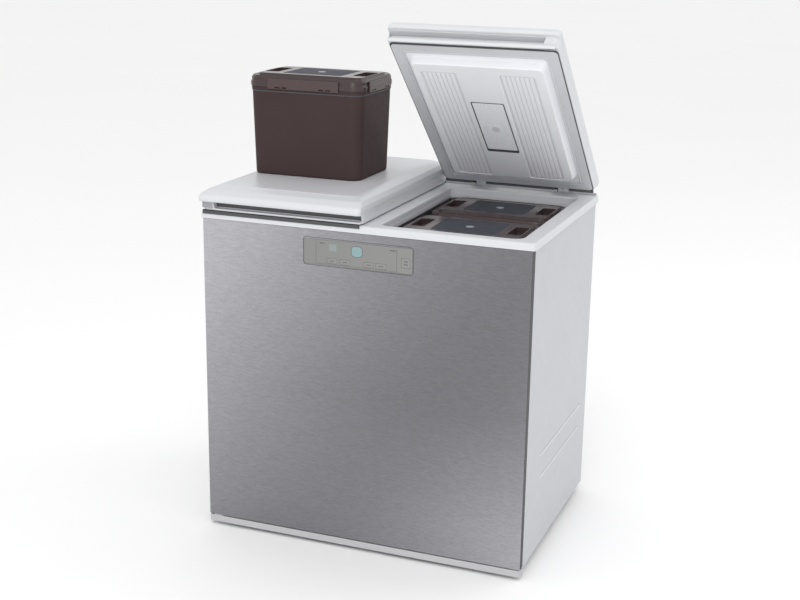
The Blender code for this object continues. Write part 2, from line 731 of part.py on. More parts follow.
def lid_foam(lid):
    """Insulation that fills the lid between its cover and its liner."""
    out = lid.outline
    ease = GAP
    wall = LID_WALL + ease
    plug = PLUG_INSET + LID_WALL + ease
    mesh = skin(
        out(-PLUG_DEPTH + LID_WALL + ease, plug + 0.006, PLUG_REAR + 0.009, PLUG_FRONT - 0.009, 0.010),
        out(LID_WALL + ease, plug, PLUG_REAR + 0.003, PLUG_FRONT - 0.003, 0.012),
        out(LID_WALL + ease, (0.0016 + wall, 0.0032 + wall), 0.0045, GRIP_BACK - 0.0036, 0.007),
        out(0.0180, (0.0006 + wall, 0.0012 + wall), -0.0098, GRIP_BACK - 0.0036, 0.007),
        out(0.0232, wall, -0.0100, GRIP_BACK - 0.0036, 0.007),
        out(0.0310 - wall, 0.0005 + wall, -0.0100, 0.5600, 0.008),
        out(0.0385 - wall, 0.0050 + wall, -0.0078, 0.5560, 0.009),
        out(0.0475 - wall, 0.0180 + wall, -0.0020, 0.5500, 0.012),
        out(LID_TOP - wall - 0.0005, 0.0380, 0.0140, 0.5360, 0.014),
    )
    foam = lid.add("foam", mesh, "foam")
    cut(foam, lid.pockets(GAP, -0.020), lid.axis)
    (x_a, x_b), (u_a, u_b) = COVER_PLATE
    filter_space = block(
        (lid.x(x_a - 0.002), lid.x(x_b + 0.002)),
        (lid_y(u_b + 0.002), lid_y(u_a - 0.002)),
        (lid_z(-0.030), lid_z(0.012)),
    )
    cut(foam, filter_space, lid.axis)


def lid_liner(lid):
    """Vacuum-formed inner panel whose plug enters the tub."""
    out = lid.outline
    plug = PLUG_INSET
    wall = LID_WALL
    edge = (0.0018 + wall, 0.0038 + wall)
    mesh = skin(
        out(-PLUG_DEPTH + wall, plug + wall + 0.006, PLUG_REAR + 0.0085, PLUG_FRONT - 0.0085, 0.010),
        out(wall, plug + wall, PLUG_REAR + 0.0025, PLUG_FRONT - 0.0025, 0.012),
        out(wall, edge, 0.0042, LINER_EDGE - 0.0030, 0.008),
        out(0, edge, 0.0042, LINER_EDGE - 0.0005, 0.008),
        out(0, plug, PLUG_REAR, PLUG_FRONT, 0.014),
        out(-PLUG_DEPTH + 0.003, plug + 0.005, PLUG_REAR + 0.005, PLUG_FRONT - 0.005, 0.012),
        out(-PLUG_DEPTH, plug + 0.008, PLUG_REAR + 0.008, PLUG_FRONT - 0.008, 0.010),
    )
    liner = lid.add("liner", mesh, "white_plastic")
    (x_a, x_b), (u_a, u_b) = COVER_PLATE
    ease = 0.0006
    opening = block(
        (lid.x(x_a - ease), lid.x(x_b + ease)),
        (lid_y(u_b + ease), lid_y(u_a - ease)),
        (lid_z(-0.030), lid_z(0.001)),
    )
    cut(liner, opening, lid.axis)


def lid_gasket(lid):
    """Soft seal round the plug, which rests on the top frame."""
    out = lid.outline
    width = GASKET_WIDTH
    edge = (0.0045, 0.0065)
    inner = (edge[0] + width, edge[1] + width)
    rear, front = 0.0045, LINER_EDGE - 0.0010
    mesh = skin(
        out(-GAP, edge, rear, front, 0.006),
        out(-GASKET_HEIGHT, edge, rear, front, 0.006),
        out(-GASKET_HEIGHT, inner, rear + width, front - width, 0.008),
        out(-GAP, inner, rear + width, front - width, 0.008),
        closed=True,
    )
    lid.add("gasket", mesh, "gasket_rubber")


def deodoriser_cover(lid):
    """Flap over the deodoriser, hinged along its front edge, flush with the plug."""
    (x_a, x_b), (u_a, u_b) = COVER_PLATE
    location = (0, lid_y(u_b), lid_z(-PLUG_DEPTH))
    hinge = empty(lid.name + "_deodoriser_axis", location, lid.axis)
    x = (lid.x(x_a), lid.x(x_b))
    plate = block(x, (0.0, u_b - u_a), (0.0, 0.0020), 0.004)
    cover = add(lid.name + "_deodoriser_cover", plate, "white_plastic", hinge)
    middle = lid.x((x_a + x_b) / 2)
    notch = block(about(middle, 0.006), (u_b - u_a - 0.004, u_b - u_a + 0.01), (-0.01, 0.01))
    cut(cover, notch, hinge)


def catch_plate(lid):
    """Small plate with two domed screws under the solid end of the front edge."""
    x = lid.across(lid_width(lid) - GRIP_BLOCK + 0.002, 0.0062)
    y = (lid_y(0.5815), lid_y(0.5685))
    z = (lid_z(-0.0014), lid_z(-GAP))
    plate = lid.add("catch_plate", block(x, y, z, 0.002), "zinc_steel")
    middle = sum(x) / 2
    for offset in (-0.009, 0.009):
        centre = (middle + offset, sum(y) / 2)
        dome = ((z[0] - 0.0010, 0.0026), (z[0] + 0.0004, 0.0040))
        join(plate, turned("Z", centre, dome, 8), lid.axis)


def lid_width(lid):
    return abs(lid.outer - lid.inner)


def hinge_arm(lid, number, distance):
    """Lid half of a hinge: a leaf in the pocket and the knuckle round the pin."""
    x = lid.x(distance)
    front = POCKET_FRONT + GAP - AXIS_DEPTH
    leaf = block(about(x, 0.018), (front, front + 0.003), (-0.034, 0.008))
    arm = lid.add(f"hinge_arm_{number}", leaf, "zinc_steel")
    join(arm, block(about(x, 0.0095), (front + 0.002, -0.0045), (-0.0045, 0.0045)), lid.axis)
    knuckle = ring_tube(about(x, 0.0095), 0.0034, 0.0070)
    join(arm, knuckle, lid.axis)
    bore = turned("X", (0, 0), ((x - 0.02, 0.0034), (x + 0.02, 0.0034)), 16)
    cut(arm, bore, lid.axis)


def ring_tube(x, inner, outer, count=16):
    """A sleeve along X round the hinge line."""
    return skin(
        ring("X", x[0], (0, 0), inner, count),
        ring("X", x[0], (0, 0), outer, count),
        ring("X", x[1], (0, 0), outer, count),
        ring("X", x[1], (0, 0), inner, count),
        closed=True,
    )


def hinge_base(name, x):
    """Cabinet half of a hinge: a plate on the rear, two lugs and the pin between them."""
    y_axis = FRONT + AXIS_DEPTH
    z = AXIS_HEIGHT
    plate_y = deep(FRAME_REAR + 0.0005, FRAME_REAR + 0.0035)
    plate = block(about(x, 0.018), plate_y, (z - 0.087, z - 0.0100))
    base = add(name, plate, "zinc_steel")
    for offset in (-0.0143, 0.0143):
        pair = about(x + offset, 0.0037)
        lug = turned("X", (y_axis, z), ((pair[0], 0.0078), (pair[1], 0.0078)), 12)
        join(base, lug)
        neck = block((pair[0] + 0.0002, pair[1] - 0.0002), (y_axis - 0.0030, plate_y[1]), (z - 0.0160, z))
        join(base, neck)
    join(base, turned("X", (y_axis, z), ((x - 0.0145, 0.0030), (x + 0.0145, 0.0030)), 12))


def build_lid(name, ends, angle):
    """All the pieces of one lid."""
    lid = Lid(name, ends, angle)
    lid_cover(lid)
    lid_foam(lid)
    lid_liner(lid)
    lid_gasket(lid)
    deodoriser_cover(lid)
    catch_plate(lid)
    for number, distance in enumerate(HINGES, 1):
        hinge_arm(lid, number, distance)
        hinge_base(f"{name}_hinge_base_{number}", lid.x(distance))
    return lid


# ---------------------------------------------------------------- containers
def centred(z, size, radius, arc=4):
    """A rounded rectangle of that size round the origin."""
    return loop("Z", z, about(0, size[0] / 2), about(0, size[1] / 2), radius, arc)


def smaller(size, inset):
    return (size[0] - 2 * inset, size[1] - 2 * inset)


def bin_body(name, holder):
    """Tapered container with a rim, open at the top."""
    wall = BIN_WALL
    foot = smaller(BIN_BASE, 0.006)
    mesh = skin(
        centred(wall, smaller(foot, wall), 0.020),
        centred(0.010, smaller(BIN_BASE, wall), 0.024),
        centred(BIN_RIM_HEIGHT, smaller(BIN_MOUTH, wall), 0.027),
        centred(BIN_RIM_HEIGHT, BIN_RIM, 0.032),
        centred(BIN_RIM_HEIGHT - 0.008, BIN_RIM, 0.032),
        centred(BIN_RIM_HEIGHT - 0.008, BIN_MOUTH, 0.029),
        centred(0.009, BIN_BASE, 0.026),
        centred(0.002, smaller(BIN_BASE, 0.002), 0.025),
        centred(0, foot, 0.022),
    )
    return add(name, mesh, "bin_brown", holder)


def bin_lid(name, holder):
    """Lid with a raised middle, and a finger pocket at each end of it."""
    low = BIN_RIM_HEIGHT + GAP
    wall = 0.0025
    plug = smaller(BIN_MOUTH, BIN_WALL + 0.0008)
    inside = smaller(plug, wall)
    raised = BIN_PLATEAU
    mesh = skin(
        centred(BIN_LID_TOP - 0.0035 - wall, smaller(inside, 0.004), 0.022),
        centred(low - 0.006, inside, 0.024),
        centred(low - 0.006, plug, 0.026),
        centred(low, plug, 0.026),
        centred(low, smaller(BIN_LID, 0.001), 0.033),
        centred(low + 0.010, BIN_LID, 0.034),
        centred(BIN_LID_TOP - 0.006, smaller(BIN_LID, 0.001), 0.033),
        centred(BIN_LID_TOP - 0.002, smaller(BIN_LID, 0.005), 0.030),
        centred(BIN_LID_TOP - 0.0035, smaller(BIN_LID, 0.010), 0.028),
        centred(BIN_LID_TOP - 0.0035, (raised[0] + 0.004, raised[1] + 0.004), 0.016),
        centred(BIN_HEIGHT, raised, 0.014),
    )
    lid = add(name, mesh, "bin_brown", holder)
    depth = BIN_HEIGHT - 0.016
    floors, dips = [], []
    for side in (-1, 1):
        x, y = about(side * FINGER_AT, 0.0165), about(0, 0.0400)
        around = (about(side * FINGER_AT, 0.0165 + wall), about(0, 0.0400 + wall))
        floors.append(block(*around, (depth - wall, BIN_HEIGHT - 0.004), 0.008, 2))
        dips.append(block(x, y, (depth, BIN_HEIGHT + 0.01), 0.006, 2))
    combine(lid, add(name + "_pocket_walls", merge(*floors), "zinc_steel", holder), "UNION")
    cut(lid, merge(*dips), holder)
    return lid


def bin_clip(name, holder, direction):
    """Locking flap hinged on the lid's edge, hanging over the rim."""
    on_long_side = direction[0] == 0
    sign = sum(direction)
    half = CLIP_LENGTHS[0 if on_long_side else 1] / 2
    offset = sign * (BIN_LID[1 if on_long_side else 0] / 2 + GAP + 0.0002)
    top = BIN_LID_TOP - 0.006
    location = (0, offset, top) if on_long_side else (offset, 0, top)
    hinge = empty(name + "_axis", location, holder)
    levels = ((-CLIP_HEIGHT, 0.0008), (-CLIP_HEIGHT + 0.002, 0), (-0.002, 0), (0, 0.0008))
    loops = []
    for z, inset in levels:
        along = about(0, half - inset)
        away = (0, sign * (CLIP_THICKNESS - inset))
        a, b = (along, away) if on_long_side else (away, along)
        loops.append(loop("Z", z, a, b, 0.0008, 1))
    add(name, skin(*loops), "clip_brown", hinge)


def storage_bin(name, location, clips=()):
    """One container with its lid and any clips, standing at a point."""
    holder = empty(name + "_axis", location)
    bin_body(name + "_body", holder)
    bin_lid(name + "_lid", holder)
    for label, direction in clips:
        bin_clip(f"{name}_{label}_clip", holder, direction)


CLIPS = (("front", (0, -1)), ("rear", (0, 1)), ("left", (-1, 0)), ("right", (1, 0)))


def storage_bins():
    """One container on the left lid and two layers of two in the right tub."""
    on_lid = LID_FACE_HEIGHT + LID_TOP + GAP
    storage_bin("lid_container", (LID_BIN[0], FRONT + LID_BIN[1], on_lid), CLIPS)
    lower = TUB_FLOOR + GAP
    upper = lower + BIN_HEIGHT + GAP
    for row, depth in (("front", FRONT_BIN_DEPTH), ("rear", REAR_BIN_DEPTH)):
        for layer, level in (("upper", upper), ("lower", lower)):
            storage_bin(f"{layer}_{row}_container", (TUB_MIDDLE, FRONT + depth, level))


# ---------------------------------------------------------------- assembly
def build():
    clear_scene()
    outer_case()
    front_panel()
    top_frame()
    tub("left_tub", -1)
    tub("right_tub", 1)
    foam_insulation()
    base_plate()
    base_trim()
    machine_room_cover()
    compressor()
    condenser_coil()
    evaporator_coil("left_evaporator_coil", -1)
    evaporator_coil("right_evaporator_coil", 1)
    fan_unit()
    control_panel()
    control_board()
    keys()
    for label, side in (("left", -1), ("right", 1)):
        front_foot(f"{label}_front_foot", side)
        rear_roller(f"{label}_rear_roller", side)
    build_lid("left_lid", LEFT_LID, 0.0)
    build_lid("right_lid", RIGHT_LID, OPEN_ANGLE)
    storage_bins()


build()
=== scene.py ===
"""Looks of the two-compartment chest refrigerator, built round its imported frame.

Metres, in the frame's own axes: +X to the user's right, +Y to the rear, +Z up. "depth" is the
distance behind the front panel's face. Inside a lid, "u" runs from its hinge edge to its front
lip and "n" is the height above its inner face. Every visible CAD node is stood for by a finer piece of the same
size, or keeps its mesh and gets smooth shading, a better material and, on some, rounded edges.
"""

import json
import math

import bpy
import bmesh
from mathutils import Matrix, Vector


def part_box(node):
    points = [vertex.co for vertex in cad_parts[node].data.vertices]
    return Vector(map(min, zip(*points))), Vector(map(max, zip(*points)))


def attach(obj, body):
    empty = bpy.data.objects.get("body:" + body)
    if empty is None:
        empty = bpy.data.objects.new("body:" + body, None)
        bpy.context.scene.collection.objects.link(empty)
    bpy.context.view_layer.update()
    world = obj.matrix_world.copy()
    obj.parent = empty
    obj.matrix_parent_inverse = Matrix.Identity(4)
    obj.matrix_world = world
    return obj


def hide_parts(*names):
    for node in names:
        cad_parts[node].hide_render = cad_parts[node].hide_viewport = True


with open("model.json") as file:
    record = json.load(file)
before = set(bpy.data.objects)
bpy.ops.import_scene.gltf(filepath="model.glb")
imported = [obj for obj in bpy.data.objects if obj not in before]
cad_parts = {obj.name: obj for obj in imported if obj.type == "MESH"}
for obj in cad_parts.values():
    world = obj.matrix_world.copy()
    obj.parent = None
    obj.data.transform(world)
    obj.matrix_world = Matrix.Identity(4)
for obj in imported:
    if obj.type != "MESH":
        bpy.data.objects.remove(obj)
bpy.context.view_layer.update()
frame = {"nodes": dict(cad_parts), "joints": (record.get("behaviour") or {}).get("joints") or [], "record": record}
RECORD = frame["record"]
BODY_OF = {node: body for body, nodes in RECORD["behaviour"]["bodies"].items() for node in nodes}
SLOT_OF = {row["node"]: row["material_slot"] for row in RECORD["subparts"]}
JOINTS = {joint["name"]: joint for joint in frame["joints"]}

# ---------------------------------------------------------------- sizes
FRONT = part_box("front_panel")[0].y
HALF_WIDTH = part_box("outer_case")[1].x
CASE_LOW, CASE_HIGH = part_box("outer_case")[0].z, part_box("outer_case")[1].z
CASE_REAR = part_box("outer_case")[1].y
CASE_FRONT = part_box("outer_case")[0].y
SHEET = 0.0015
MOUTH_X = (0.035, 0.3695)                 # each tub's mouth, from the middle outward
MOUTH_DEPTH = (0.030, 0.530)
MOUTH_RADIUS = 0.022
TUB_WALL = 0.0025
TUB_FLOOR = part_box("right_tub")[0].z + TUB_WALL
GROOVES = ((0.134, 0.520, 0.263), (0.144, 0.505, 0.205))   # pressed in each side: depths, z
GROOVE_PROFILE = ((0.001, 0.0062), (0.0, 0.0050), (-0.0011, 0.0022))   # out of the side, half-width
# Painted shade and painted highlight strips in the side grooves.
GROOVE_STRIPS = (("shade", 0.0024, 0.0017), ("light", -0.0022, 0.0020))   # above its middle, half-width
REAR_GROOVE, REAR_LIP = (0.5745, 0.5856), (0.5859, 0.5877)   # depths
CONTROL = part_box("control_panel")
KEYS = [f"key_{number}" for number in range(1, 6)]
DASH_ROWS = ((-0.0990, 0.7548, 3, 0.0042), (0.0740, 0.7540, 4, 0.0036))   # x, z, count, pitch
LAMP_LEFT, LAMP_MIDDLE = (-0.0680, 0.7462), (-0.0085, 0.7425)
INLET, INLET_HOLE = (-0.300, 0.080), 0.0055
LOUVRE_COLUMNS, LOUVRE_ROWS, LOUVRE_PITCH = (-0.13, 0.02, 0.17), 6, 0.022

LID_EDGE_DEPTH, LID_FACE_HEIGHT = 0.5825, 0.806
LID_TOP = 0.0545
LID_WALL = 0.0025
GRIP_BACK, GRIP_LOW, GRIP_HIGH = 0.5675, 0.0045, 0.0200
GRIP_BLOCK = 0.034
LIP = 0.598
PLUG_INSET, PLUG_DEPTH, PLUG_U = 0.0395, 0.017, (0.0575, 0.5225)
GASKET_WIDTH, GASKET_HEIGHT = 0.028, 0.0026
GASKET_INSET = (0.0050, 0.0078, 0.0050, GRIP_BACK - 0.0030)   # inner end, outer end, rear u, front u
FLAP_X, FLAP_U = (0.1675, 0.2435), (0.1750, 0.3765)
RIB_PANELS = ((0.067, 0.154), (0.255, 0.341))
RIB_U = (0.064, 0.488)
FIELD_DEPTH = 0.0020
HINGES = (0.100, 0.320)
ARM_ROOM = 0.0195                         # half of what a hinge arm needs in the rear seal
POCKET_HALF, POCKET_DEPTH = 0.025, 0.566
FLANGE_HALF, FLANGE_DEPTH = 0.034, (0.5941, 0.5953)
FLANGE_Z = (LID_FACE_HEIGHT - 0.020, LID_FACE_HEIGHT + 0.012)

BIN_BASE, BIN_MOUTH = (0.286, 0.206), (0.296, 0.213)
BIN_RIM, BIN_LID = (0.300, 0.217), (0.305, 0.222)
BIN_PLATEAU = (0.282, 0.160)
BIN_WALL = 0.0025
BIN_RIM_HEIGHT, BIN_LID_TOP, BIN_HEIGHT = 0.2150, 0.2420, 0.2455
INSERT = (0.155, 0.128)                   # glossy panel in the middle of a container's lid
FINGER_AT, FINGER = 0.1165, (0.0165, 0.0400)
CLIP_LENGTHS, CLIP_THICKNESS, CLIP_HEIGHT = (0.1855, 0.1345), 0.0035, 0.0245
GAP = 0.0003

LENS, SENSOR = 61.18, 36.0
CAMERA_AT = (1.1618, -3.0541, 1.4767)
AZIMUTH, ELEVATION, ROLL = -0.3673, 0.2749, 0.0153
FLOOR_SPAN, FLOOR_MIDDLE = 60, 20
SKY = 0.96
LIGHTS = {                                # place, target, size, power
    "front_light": ((0.6, -3.4, 4.2), (0.0, 0.0, 0.6), 2.4, 48.0),
    "fill_light": ((0.9, -4.2, 1.1), (0.1, 0.0, 0.9), 1.8, 26.0),
    "rear_light": ((2.8, 1.9, 2.9), (0.2, 0.1, 0.6), 2.2, 18.0),
}


# ---------------------------------------------------------------- finishes
def principled(name, color, roughness, metallic=0.0):
    """A new material: its tree, its Principled shader and the object's own coordinates."""
    made = bpy.data.materials.new(name + "_look")
    made.use_nodes = True
    tree = made.node_tree
    shader = tree.nodes["Principled BSDF"]
    shader.inputs["Base Color"].default_value = (*color, 1.0)
    shader.inputs["Roughness"].default_value = roughness
    shader.inputs["Metallic"].default_value = metallic
    place = tree.nodes.new("ShaderNodeTexCoord").outputs["Object"]
    return made, tree, shader, place


def add(tree, kind, inputs, **settings):
    """The outputs of a new shader node, with its settings made and its inputs set or linked."""
    node = tree.nodes.new("ShaderNode" + kind)
    for name, value in settings.items():
        setattr(node, name, value)
    for key, value in inputs.items():
        if isinstance(value, bpy.types.NodeSocket):
            tree.links.new(value, node.inputs[key])
        else:
            node.inputs[key].default_value = value
    return node.outputs


def noise(tree, place, scale, detail=3.0, stretch=None):
    """Noise between 0 and 1 at that scale, stretched along the axes if asked."""
    if stretch:
        place = add(tree, "Mapping", {"Vector": place, "Scale": stretch})["Vector"]
    return add(tree, "TexNoise", {"Vector": place, "Scale": scale, "Detail": detail})["Fac"]


def spread(tree, value, low, high, start=0.3, end=0.7):
    """The range from start to end, by default a noise's useful one, moved to low ... high."""
    inputs = {"Value": value, "From Min": start, "From Max": end, "To Min": low, "To Max": high}
    return add(tree, "MapRange", inputs)["Result"]


def blend(tree, value, first, second):
    """A colour between two, by a value between 0 and 1."""
    inputs = {"Factor": value, "A": (*first, 1.0), "B": (*second, 1.0)}
    return add(tree, "Mix", inputs, data_type="RGBA")["Result"]


def product(tree, first, second):
    """One colour times another."""
    inputs = {"Factor": 1.0, "A": first, "B": second}
    return add(tree, "Mix", inputs, data_type="RGBA", blend_type="MULTIPLY")["Result"]


def computed(tree, operation, *values):
    """Arithmetic on other values and plain numbers."""
    return add(tree, "Math", dict(enumerate(values)), operation=operation)["Value"]


def bump(tree, shader, height, distance, strength=1.0):
    raised = add(tree, "Bump", {"Height": height, "Distance": distance, "Strength": strength})
    tree.links.new(raised["Normal"], shader.inputs["Normal"])


def scaled(color, share):
    return tuple(min(channel * share, 1.0) for channel in color)


def moulded(name, color, roughness, grain, relief, mottle, coat=0.0, metallic=0.0, shine=0.5):
    """Moulded or painted surface: faint cloudiness, fine grain and uneven gloss."""
    made, tree, shader, place = principled(name, color, roughness, metallic)
    clouds = spread(tree, noise(tree, place, 9.0), 0.0, 1.0)
    base = blend(tree, clouds, scaled(color, 1 - mottle), scaled(color, 1 + mottle))
    tree.links.new(base, shader.inputs["Base Color"])
    gloss = spread(tree, noise(tree, place, 60.0), roughness - 0.04, roughness + 0.05)
    tree.links.new(gloss, shader.inputs["Roughness"])
    bump(tree, shader, noise(tree, place, grain, 2.0), relief)
    shader.inputs["Specular IOR Level"].default_value = shine
    if coat:
        shader.inputs["Coat Weight"].default_value = coat
        shader.inputs["Coat Roughness"].default_value = 0.12
    return made


def brushed(name, color, roughness, along, depth):
    """Metal with a grain drawn along X."""
    made, tree, shader, place = principled(name, color, roughness, 0.92)
    fine = noise(tree, place, 1.0, 4.0, (along[0] * 3.5, along[1], along[2] * 1.8))
    broad = noise(tree, place, 1.0, 3.0, along)
    lines = computed(tree, "MULTIPLY_ADD", fine, 0.5, computed(tree, "MULTIPLY", broad, 0.5))
    strong = spread(tree, lines, 0.0, 1.0)
    base = blend(tree, strong, scaled(color, 1 - depth), scaled(color, 1 + depth))
    tree.links.new(base, shader.inputs["Base Color"])
    tree.links.new(spread(tree, lines, roughness - 0.05, roughness + 0.07), shader.inputs["Roughness"])
    bump(tree, shader, lines, 0.00004, 0.6)
    shader.inputs["Anisotropic"].default_value = 0.55
    return made


STEEL = (0.440, 0.434, 0.462)
# Painted reflection of the front steel: a light-to-dark sweep along a diagonal, baked into its colour.
REFLECTION_SWEEP = ((0.0, 1.05), (0.18, 0.79), (0.42, 0.53), (0.70, 0.38), (1.0, 0.85))   # place, brightness
REFLECTION_SLOPE, REFLECTION_SPAN = -1.2, (1.24, -0.4)


def front_steel():
    """The front panel's grain, with a painted reflection in its colour: a slow diagonal sweep from light to dark,
    lighter again near the foot and towards the left.
    """
    made = brushed("brushed_steel", STEEL, 0.36, (60.0, 40.0, 420.0), 0.17)
    tree = made.node_tree
    base = tree.nodes["Principled BSDF"].inputs["Base Color"]
    grain = base.links[0].from_socket
    split = add(tree, "SeparateXYZ", {"Vector": tree.nodes["Texture Coordinate"].outputs["Object"]})
    across, up = split["X"], split["Z"]
    slope = computed(tree, "MULTIPLY_ADD", across, REFLECTION_SLOPE, up)
    ramp = tree.nodes.new("ShaderNodeValToRGB")
    tree.links.new(spread(tree, slope, 0.0, 1.0, *REFLECTION_SPAN), ramp.inputs["Fac"])
    ramp.color_ramp.interpolation = "B_SPLINE"
    while len(ramp.color_ramp.elements) < len(REFLECTION_SWEEP):
        ramp.color_ramp.elements.new(0.5)
    for element, (position, level) in zip(ramp.color_ramp.elements, REFLECTION_SWEEP):
        element.position = position
        element.color = (level, level, level, 1.0)
    # More painted reflection: brighter near the panel's foot, and brighter on the left than the right above it.
    side, foot = spread(tree, across, 1.06, 0.80, -0.39, 0.35), spread(tree, up, 0.0, 1.0, 0.10, 0.40)
    reflection_lift = add(tree, "Mix", {"Factor": foot, "A": 1.14, "B": side})["Result"]
    tree.links.new(product(tree, product(tree, grain, ramp.outputs["Color"]), reflection_lift), base)
    return made


def cellular(name, color):
    """Rigid foam, with its cells and painted shade darkening each cell's hollow."""
    made, tree, shader, place = principled(name, color, 0.85)
    cells = add(tree, "TexVoronoi", {"Vector": place, "Scale": 420.0})["Distance"]
    tree.links.new(blend(tree, cells, scaled(color, 0.85), color), shader.inputs["Base Color"])
    bump(tree, shader, cells, 0.0004)
    return made


def circuit():
    """Green lacquer over a net of tracks."""
    made, tree, shader, place = principled("board_green", (0.02, 0.12, 0.04), 0.4)
    inputs = {"Vector": place, "Scale": 160.0}
    cells = add(tree, "TexVoronoi", inputs, feature="DISTANCE_TO_EDGE", distance="CHEBYCHEV")
    tracks = spread(tree, cells["Distance"], 1.0, 0.0)
    base = blend(tree, tracks, (0.015, 0.10, 0.035), (0.03, 0.20, 0.06))
    tree.links.new(base, shader.inputs["Base Color"])
    bump(tree, shader, tracks, 0.0001)
    return made


def dimpled(name, color):
    """Moulding with a close pattern of small round dimples, with painted shade darkening each dimple's hollow."""
    made, tree, shader, place = principled(name, color, 0.42)
    cells = add(tree, "TexVoronoi", {"Vector": place, "Scale": 210.0, "Randomness": 0.35})
    dots = spread(tree, cells["Distance"], 0.0, 1.0)
    # Painted shade: darker in each dimple's hollow.
    tree.links.new(blend(tree, dots, scaled(color, 0.86), scaled(color, 0.98)), shader.inputs["Base Color"])
    bump(tree, shader, dots, 0.0003)
    return made


WHITE = (0.605, 0.612, 0.637)
BROWN = (0.058, 0.0385, 0.0395)
MOULDED = {                               # colour, roughness, grain, its relief, cloudiness
    "white_plastic": (WHITE, 0.34, 1400.0, 0.00003, 0.012),
    "white_steel": ((0.485, 0.492, 0.518), 0.40, 700.0, 0.00006, 0.015),
    "grey_plastic": ((0.45, 0.45, 0.465), 0.45, 900.0, 0.00006, 0.03),
    "key_grey": ((0.222, 0.222, 0.216), 0.38, 1400.0, 0.00003, 0.03),
    "gasket_rubber": ((0.55, 0.56, 0.59), 0.62, 500.0, 0.00008, 0.03),
    "bin_brown": (scaled(BROWN, 0.97), 0.46, 900.0, 0.000004, 0.04),
    "lid_brown": (scaled(BROWN, 0.92), 0.20, 900.0, 0.000004, 0.04),
    "clip_brown": (scaled(BROWN, 1.2), 0.30, 900.0, 0.000004, 0.04),
    "black_steel": ((0.02, 0.02, 0.022), 0.40, 500.0, 0.00008, 0.03),
    "copper": ((0.72, 0.36, 0.22), 0.34, 300.0, 0.00005, 0.12),
    "zinc_steel": ((0.60, 0.61, 0.63), 0.38, 240.0, 0.00003, 0.10),
    "black_plastic": ((0.025, 0.025, 0.028), 0.50, 800.0, 0.00006, 0.03),
    "insert_navy": ((0.062, 0.066, 0.080), 0.50, 900.0, 0.00001, 0.06),
    "vent_grey": ((0.30, 0.31, 0.33), 0.35, 1400.0, 0.00003, 0.03),
    "ink_dark": ((0.055, 0.055, 0.06), 0.45, 1400.0, 0.00003, 0.03),
    "lens_teal": ((0.225, 0.275, 0.265), 0.30, 1400.0, 0.00003, 0.03),
    "lens_cyan": ((0.215, 0.325, 0.335), 0.30, 1400.0, 0.00003, 0.03),
    # A brighter copy of the white for the lid's inner face and its ribs: painted light.
    "liner_white": (scaled(WHITE, 1.30), 0.40, 1400.0, 0.00003, 0.012),
    "liner_shade": (scaled(WHITE, 1.06), 0.50, 1400.0, 0.00003, 0.012),
    # Painted shade and painted highlight for the side grooves' upper and lower slopes.
    "groove_shade": ((0.40, 0.406, 0.428), 0.45, 700.0, 0.00006, 0.015),
    "groove_light": ((0.66, 0.666, 0.69), 0.35, 700.0, 0.00006, 0.015),
    "shade_grey": ((0.30, 0.305, 0.32), 0.50, 1400.0, 0.00003, 0.012),
    # Near-black painted shade for the closed lid's finger recess and the seal behind the lids.
    "grip_grey": ((0.075, 0.075, 0.08), 0.55, 1400.0, 0.00003, 0.03),
    # Near-black for painted shadow in gaps, under rims and under the closed lid's front; the flap's catches use it
    # too.
    "dark_gap": ((0.06, 0.06, 0.065), 0.6, 1400.0, 0.00003, 0.03),
}
GLOSS = {"bin_brown": {"shine": 0.045}, "lid_brown": {"shine": 0.34}, "clip_brown": {"shine": 0.34},
         "insert_navy": {"shine": 0.03}, "black_steel": {"coat": 0.3}, "copper": {"metallic": 1.0},
         "zinc_steel": {"metallic": 0.9}}
BRUSHED = {                               # colour, roughness, grain along each axis, its depth
    "panel_grey": ((0.265, 0.265, 0.258), 0.40, (20.0, 40.0, 800.0), 0.03),
    "tub_metal": ((0.50, 0.51, 0.53), 0.34, (2.0, 2.0, 300.0), 0.06),
    # A darkened copy of the steel for the front panel's side returns: painted shade.
    "return_steel": ((0.085, 0.085, 0.09), 0.45, (38.0, 40.0, 640.0), 0.06),
}
MADE = {}


def new_finish(name):
    if name in MOULDED:
        return moulded(name, *MOULDED[name], **GLOSS.get(name, {}))
    if name in BRUSHED:
        return brushed(name, *BRUSHED[name])
    if name == "foam":
        return cellular(name, (0.82, 0.77, 0.55))
    if name == "flap_white":
        return dimpled(name, scaled(WHITE, 1.42))
    return {"brushed_steel": front_steel, "board_green": circuit}[name]()


def finish(name):
    """The material of that name, built once."""
    if name not in MADE:
        MADE[name] = new_finish(name)
    return MADE[name]


# ---------------------------------------------------------------- outlines and shells
def about(centre, half):
    return (centre - half, centre + half)


def deep(*depths):
    """Depths behind the front panel as y."""
    return tuple(FRONT + depth for depth in depths)


def placed(axis, level, a, b):
    point = [a, b]
    point.insert("XYZ".index(axis), level)
    return Vector(point)


def loop(axis, level, a, b, radius=0.0, arc=6):
    """A rounded rectangle across an axis, between (low, high) pairs a and b."""
    low_a, high_a = min(a), max(a)
    low_b, high_b = min(b), max(b)
    radius = max(min(radius, (high_a - low_a) / 2.01, (high_b - low_b) / 2.01), 1e-5)
    corners = (
        (high_a - radius, high_b - radius, 0),
        (low_a + radius, high_b - radius, 1),
        (low_a + radius, low_b + radius, 2),
        (high_a - radius, low_b + radius, 3),
    )
    points = []
    for centre_a, centre_b, quarter in corners:
        for step in range(arc + 1):
            turn = math.pi / 2 * (quarter + step / arc)
            across = centre_a + radius * math.cos(turn)
            along = centre_b + radius * math.sin(turn)
            points.append(placed(axis, level, across, along))
    return points


def ring(axis, level, centre, radius, count=32):
    turns = [2 * math.pi * step / count for step in range(count)]
    a, b = centre
    return [placed(axis, level, a + radius * math.cos(t), b + radius * math.sin(t)) for t in turns]


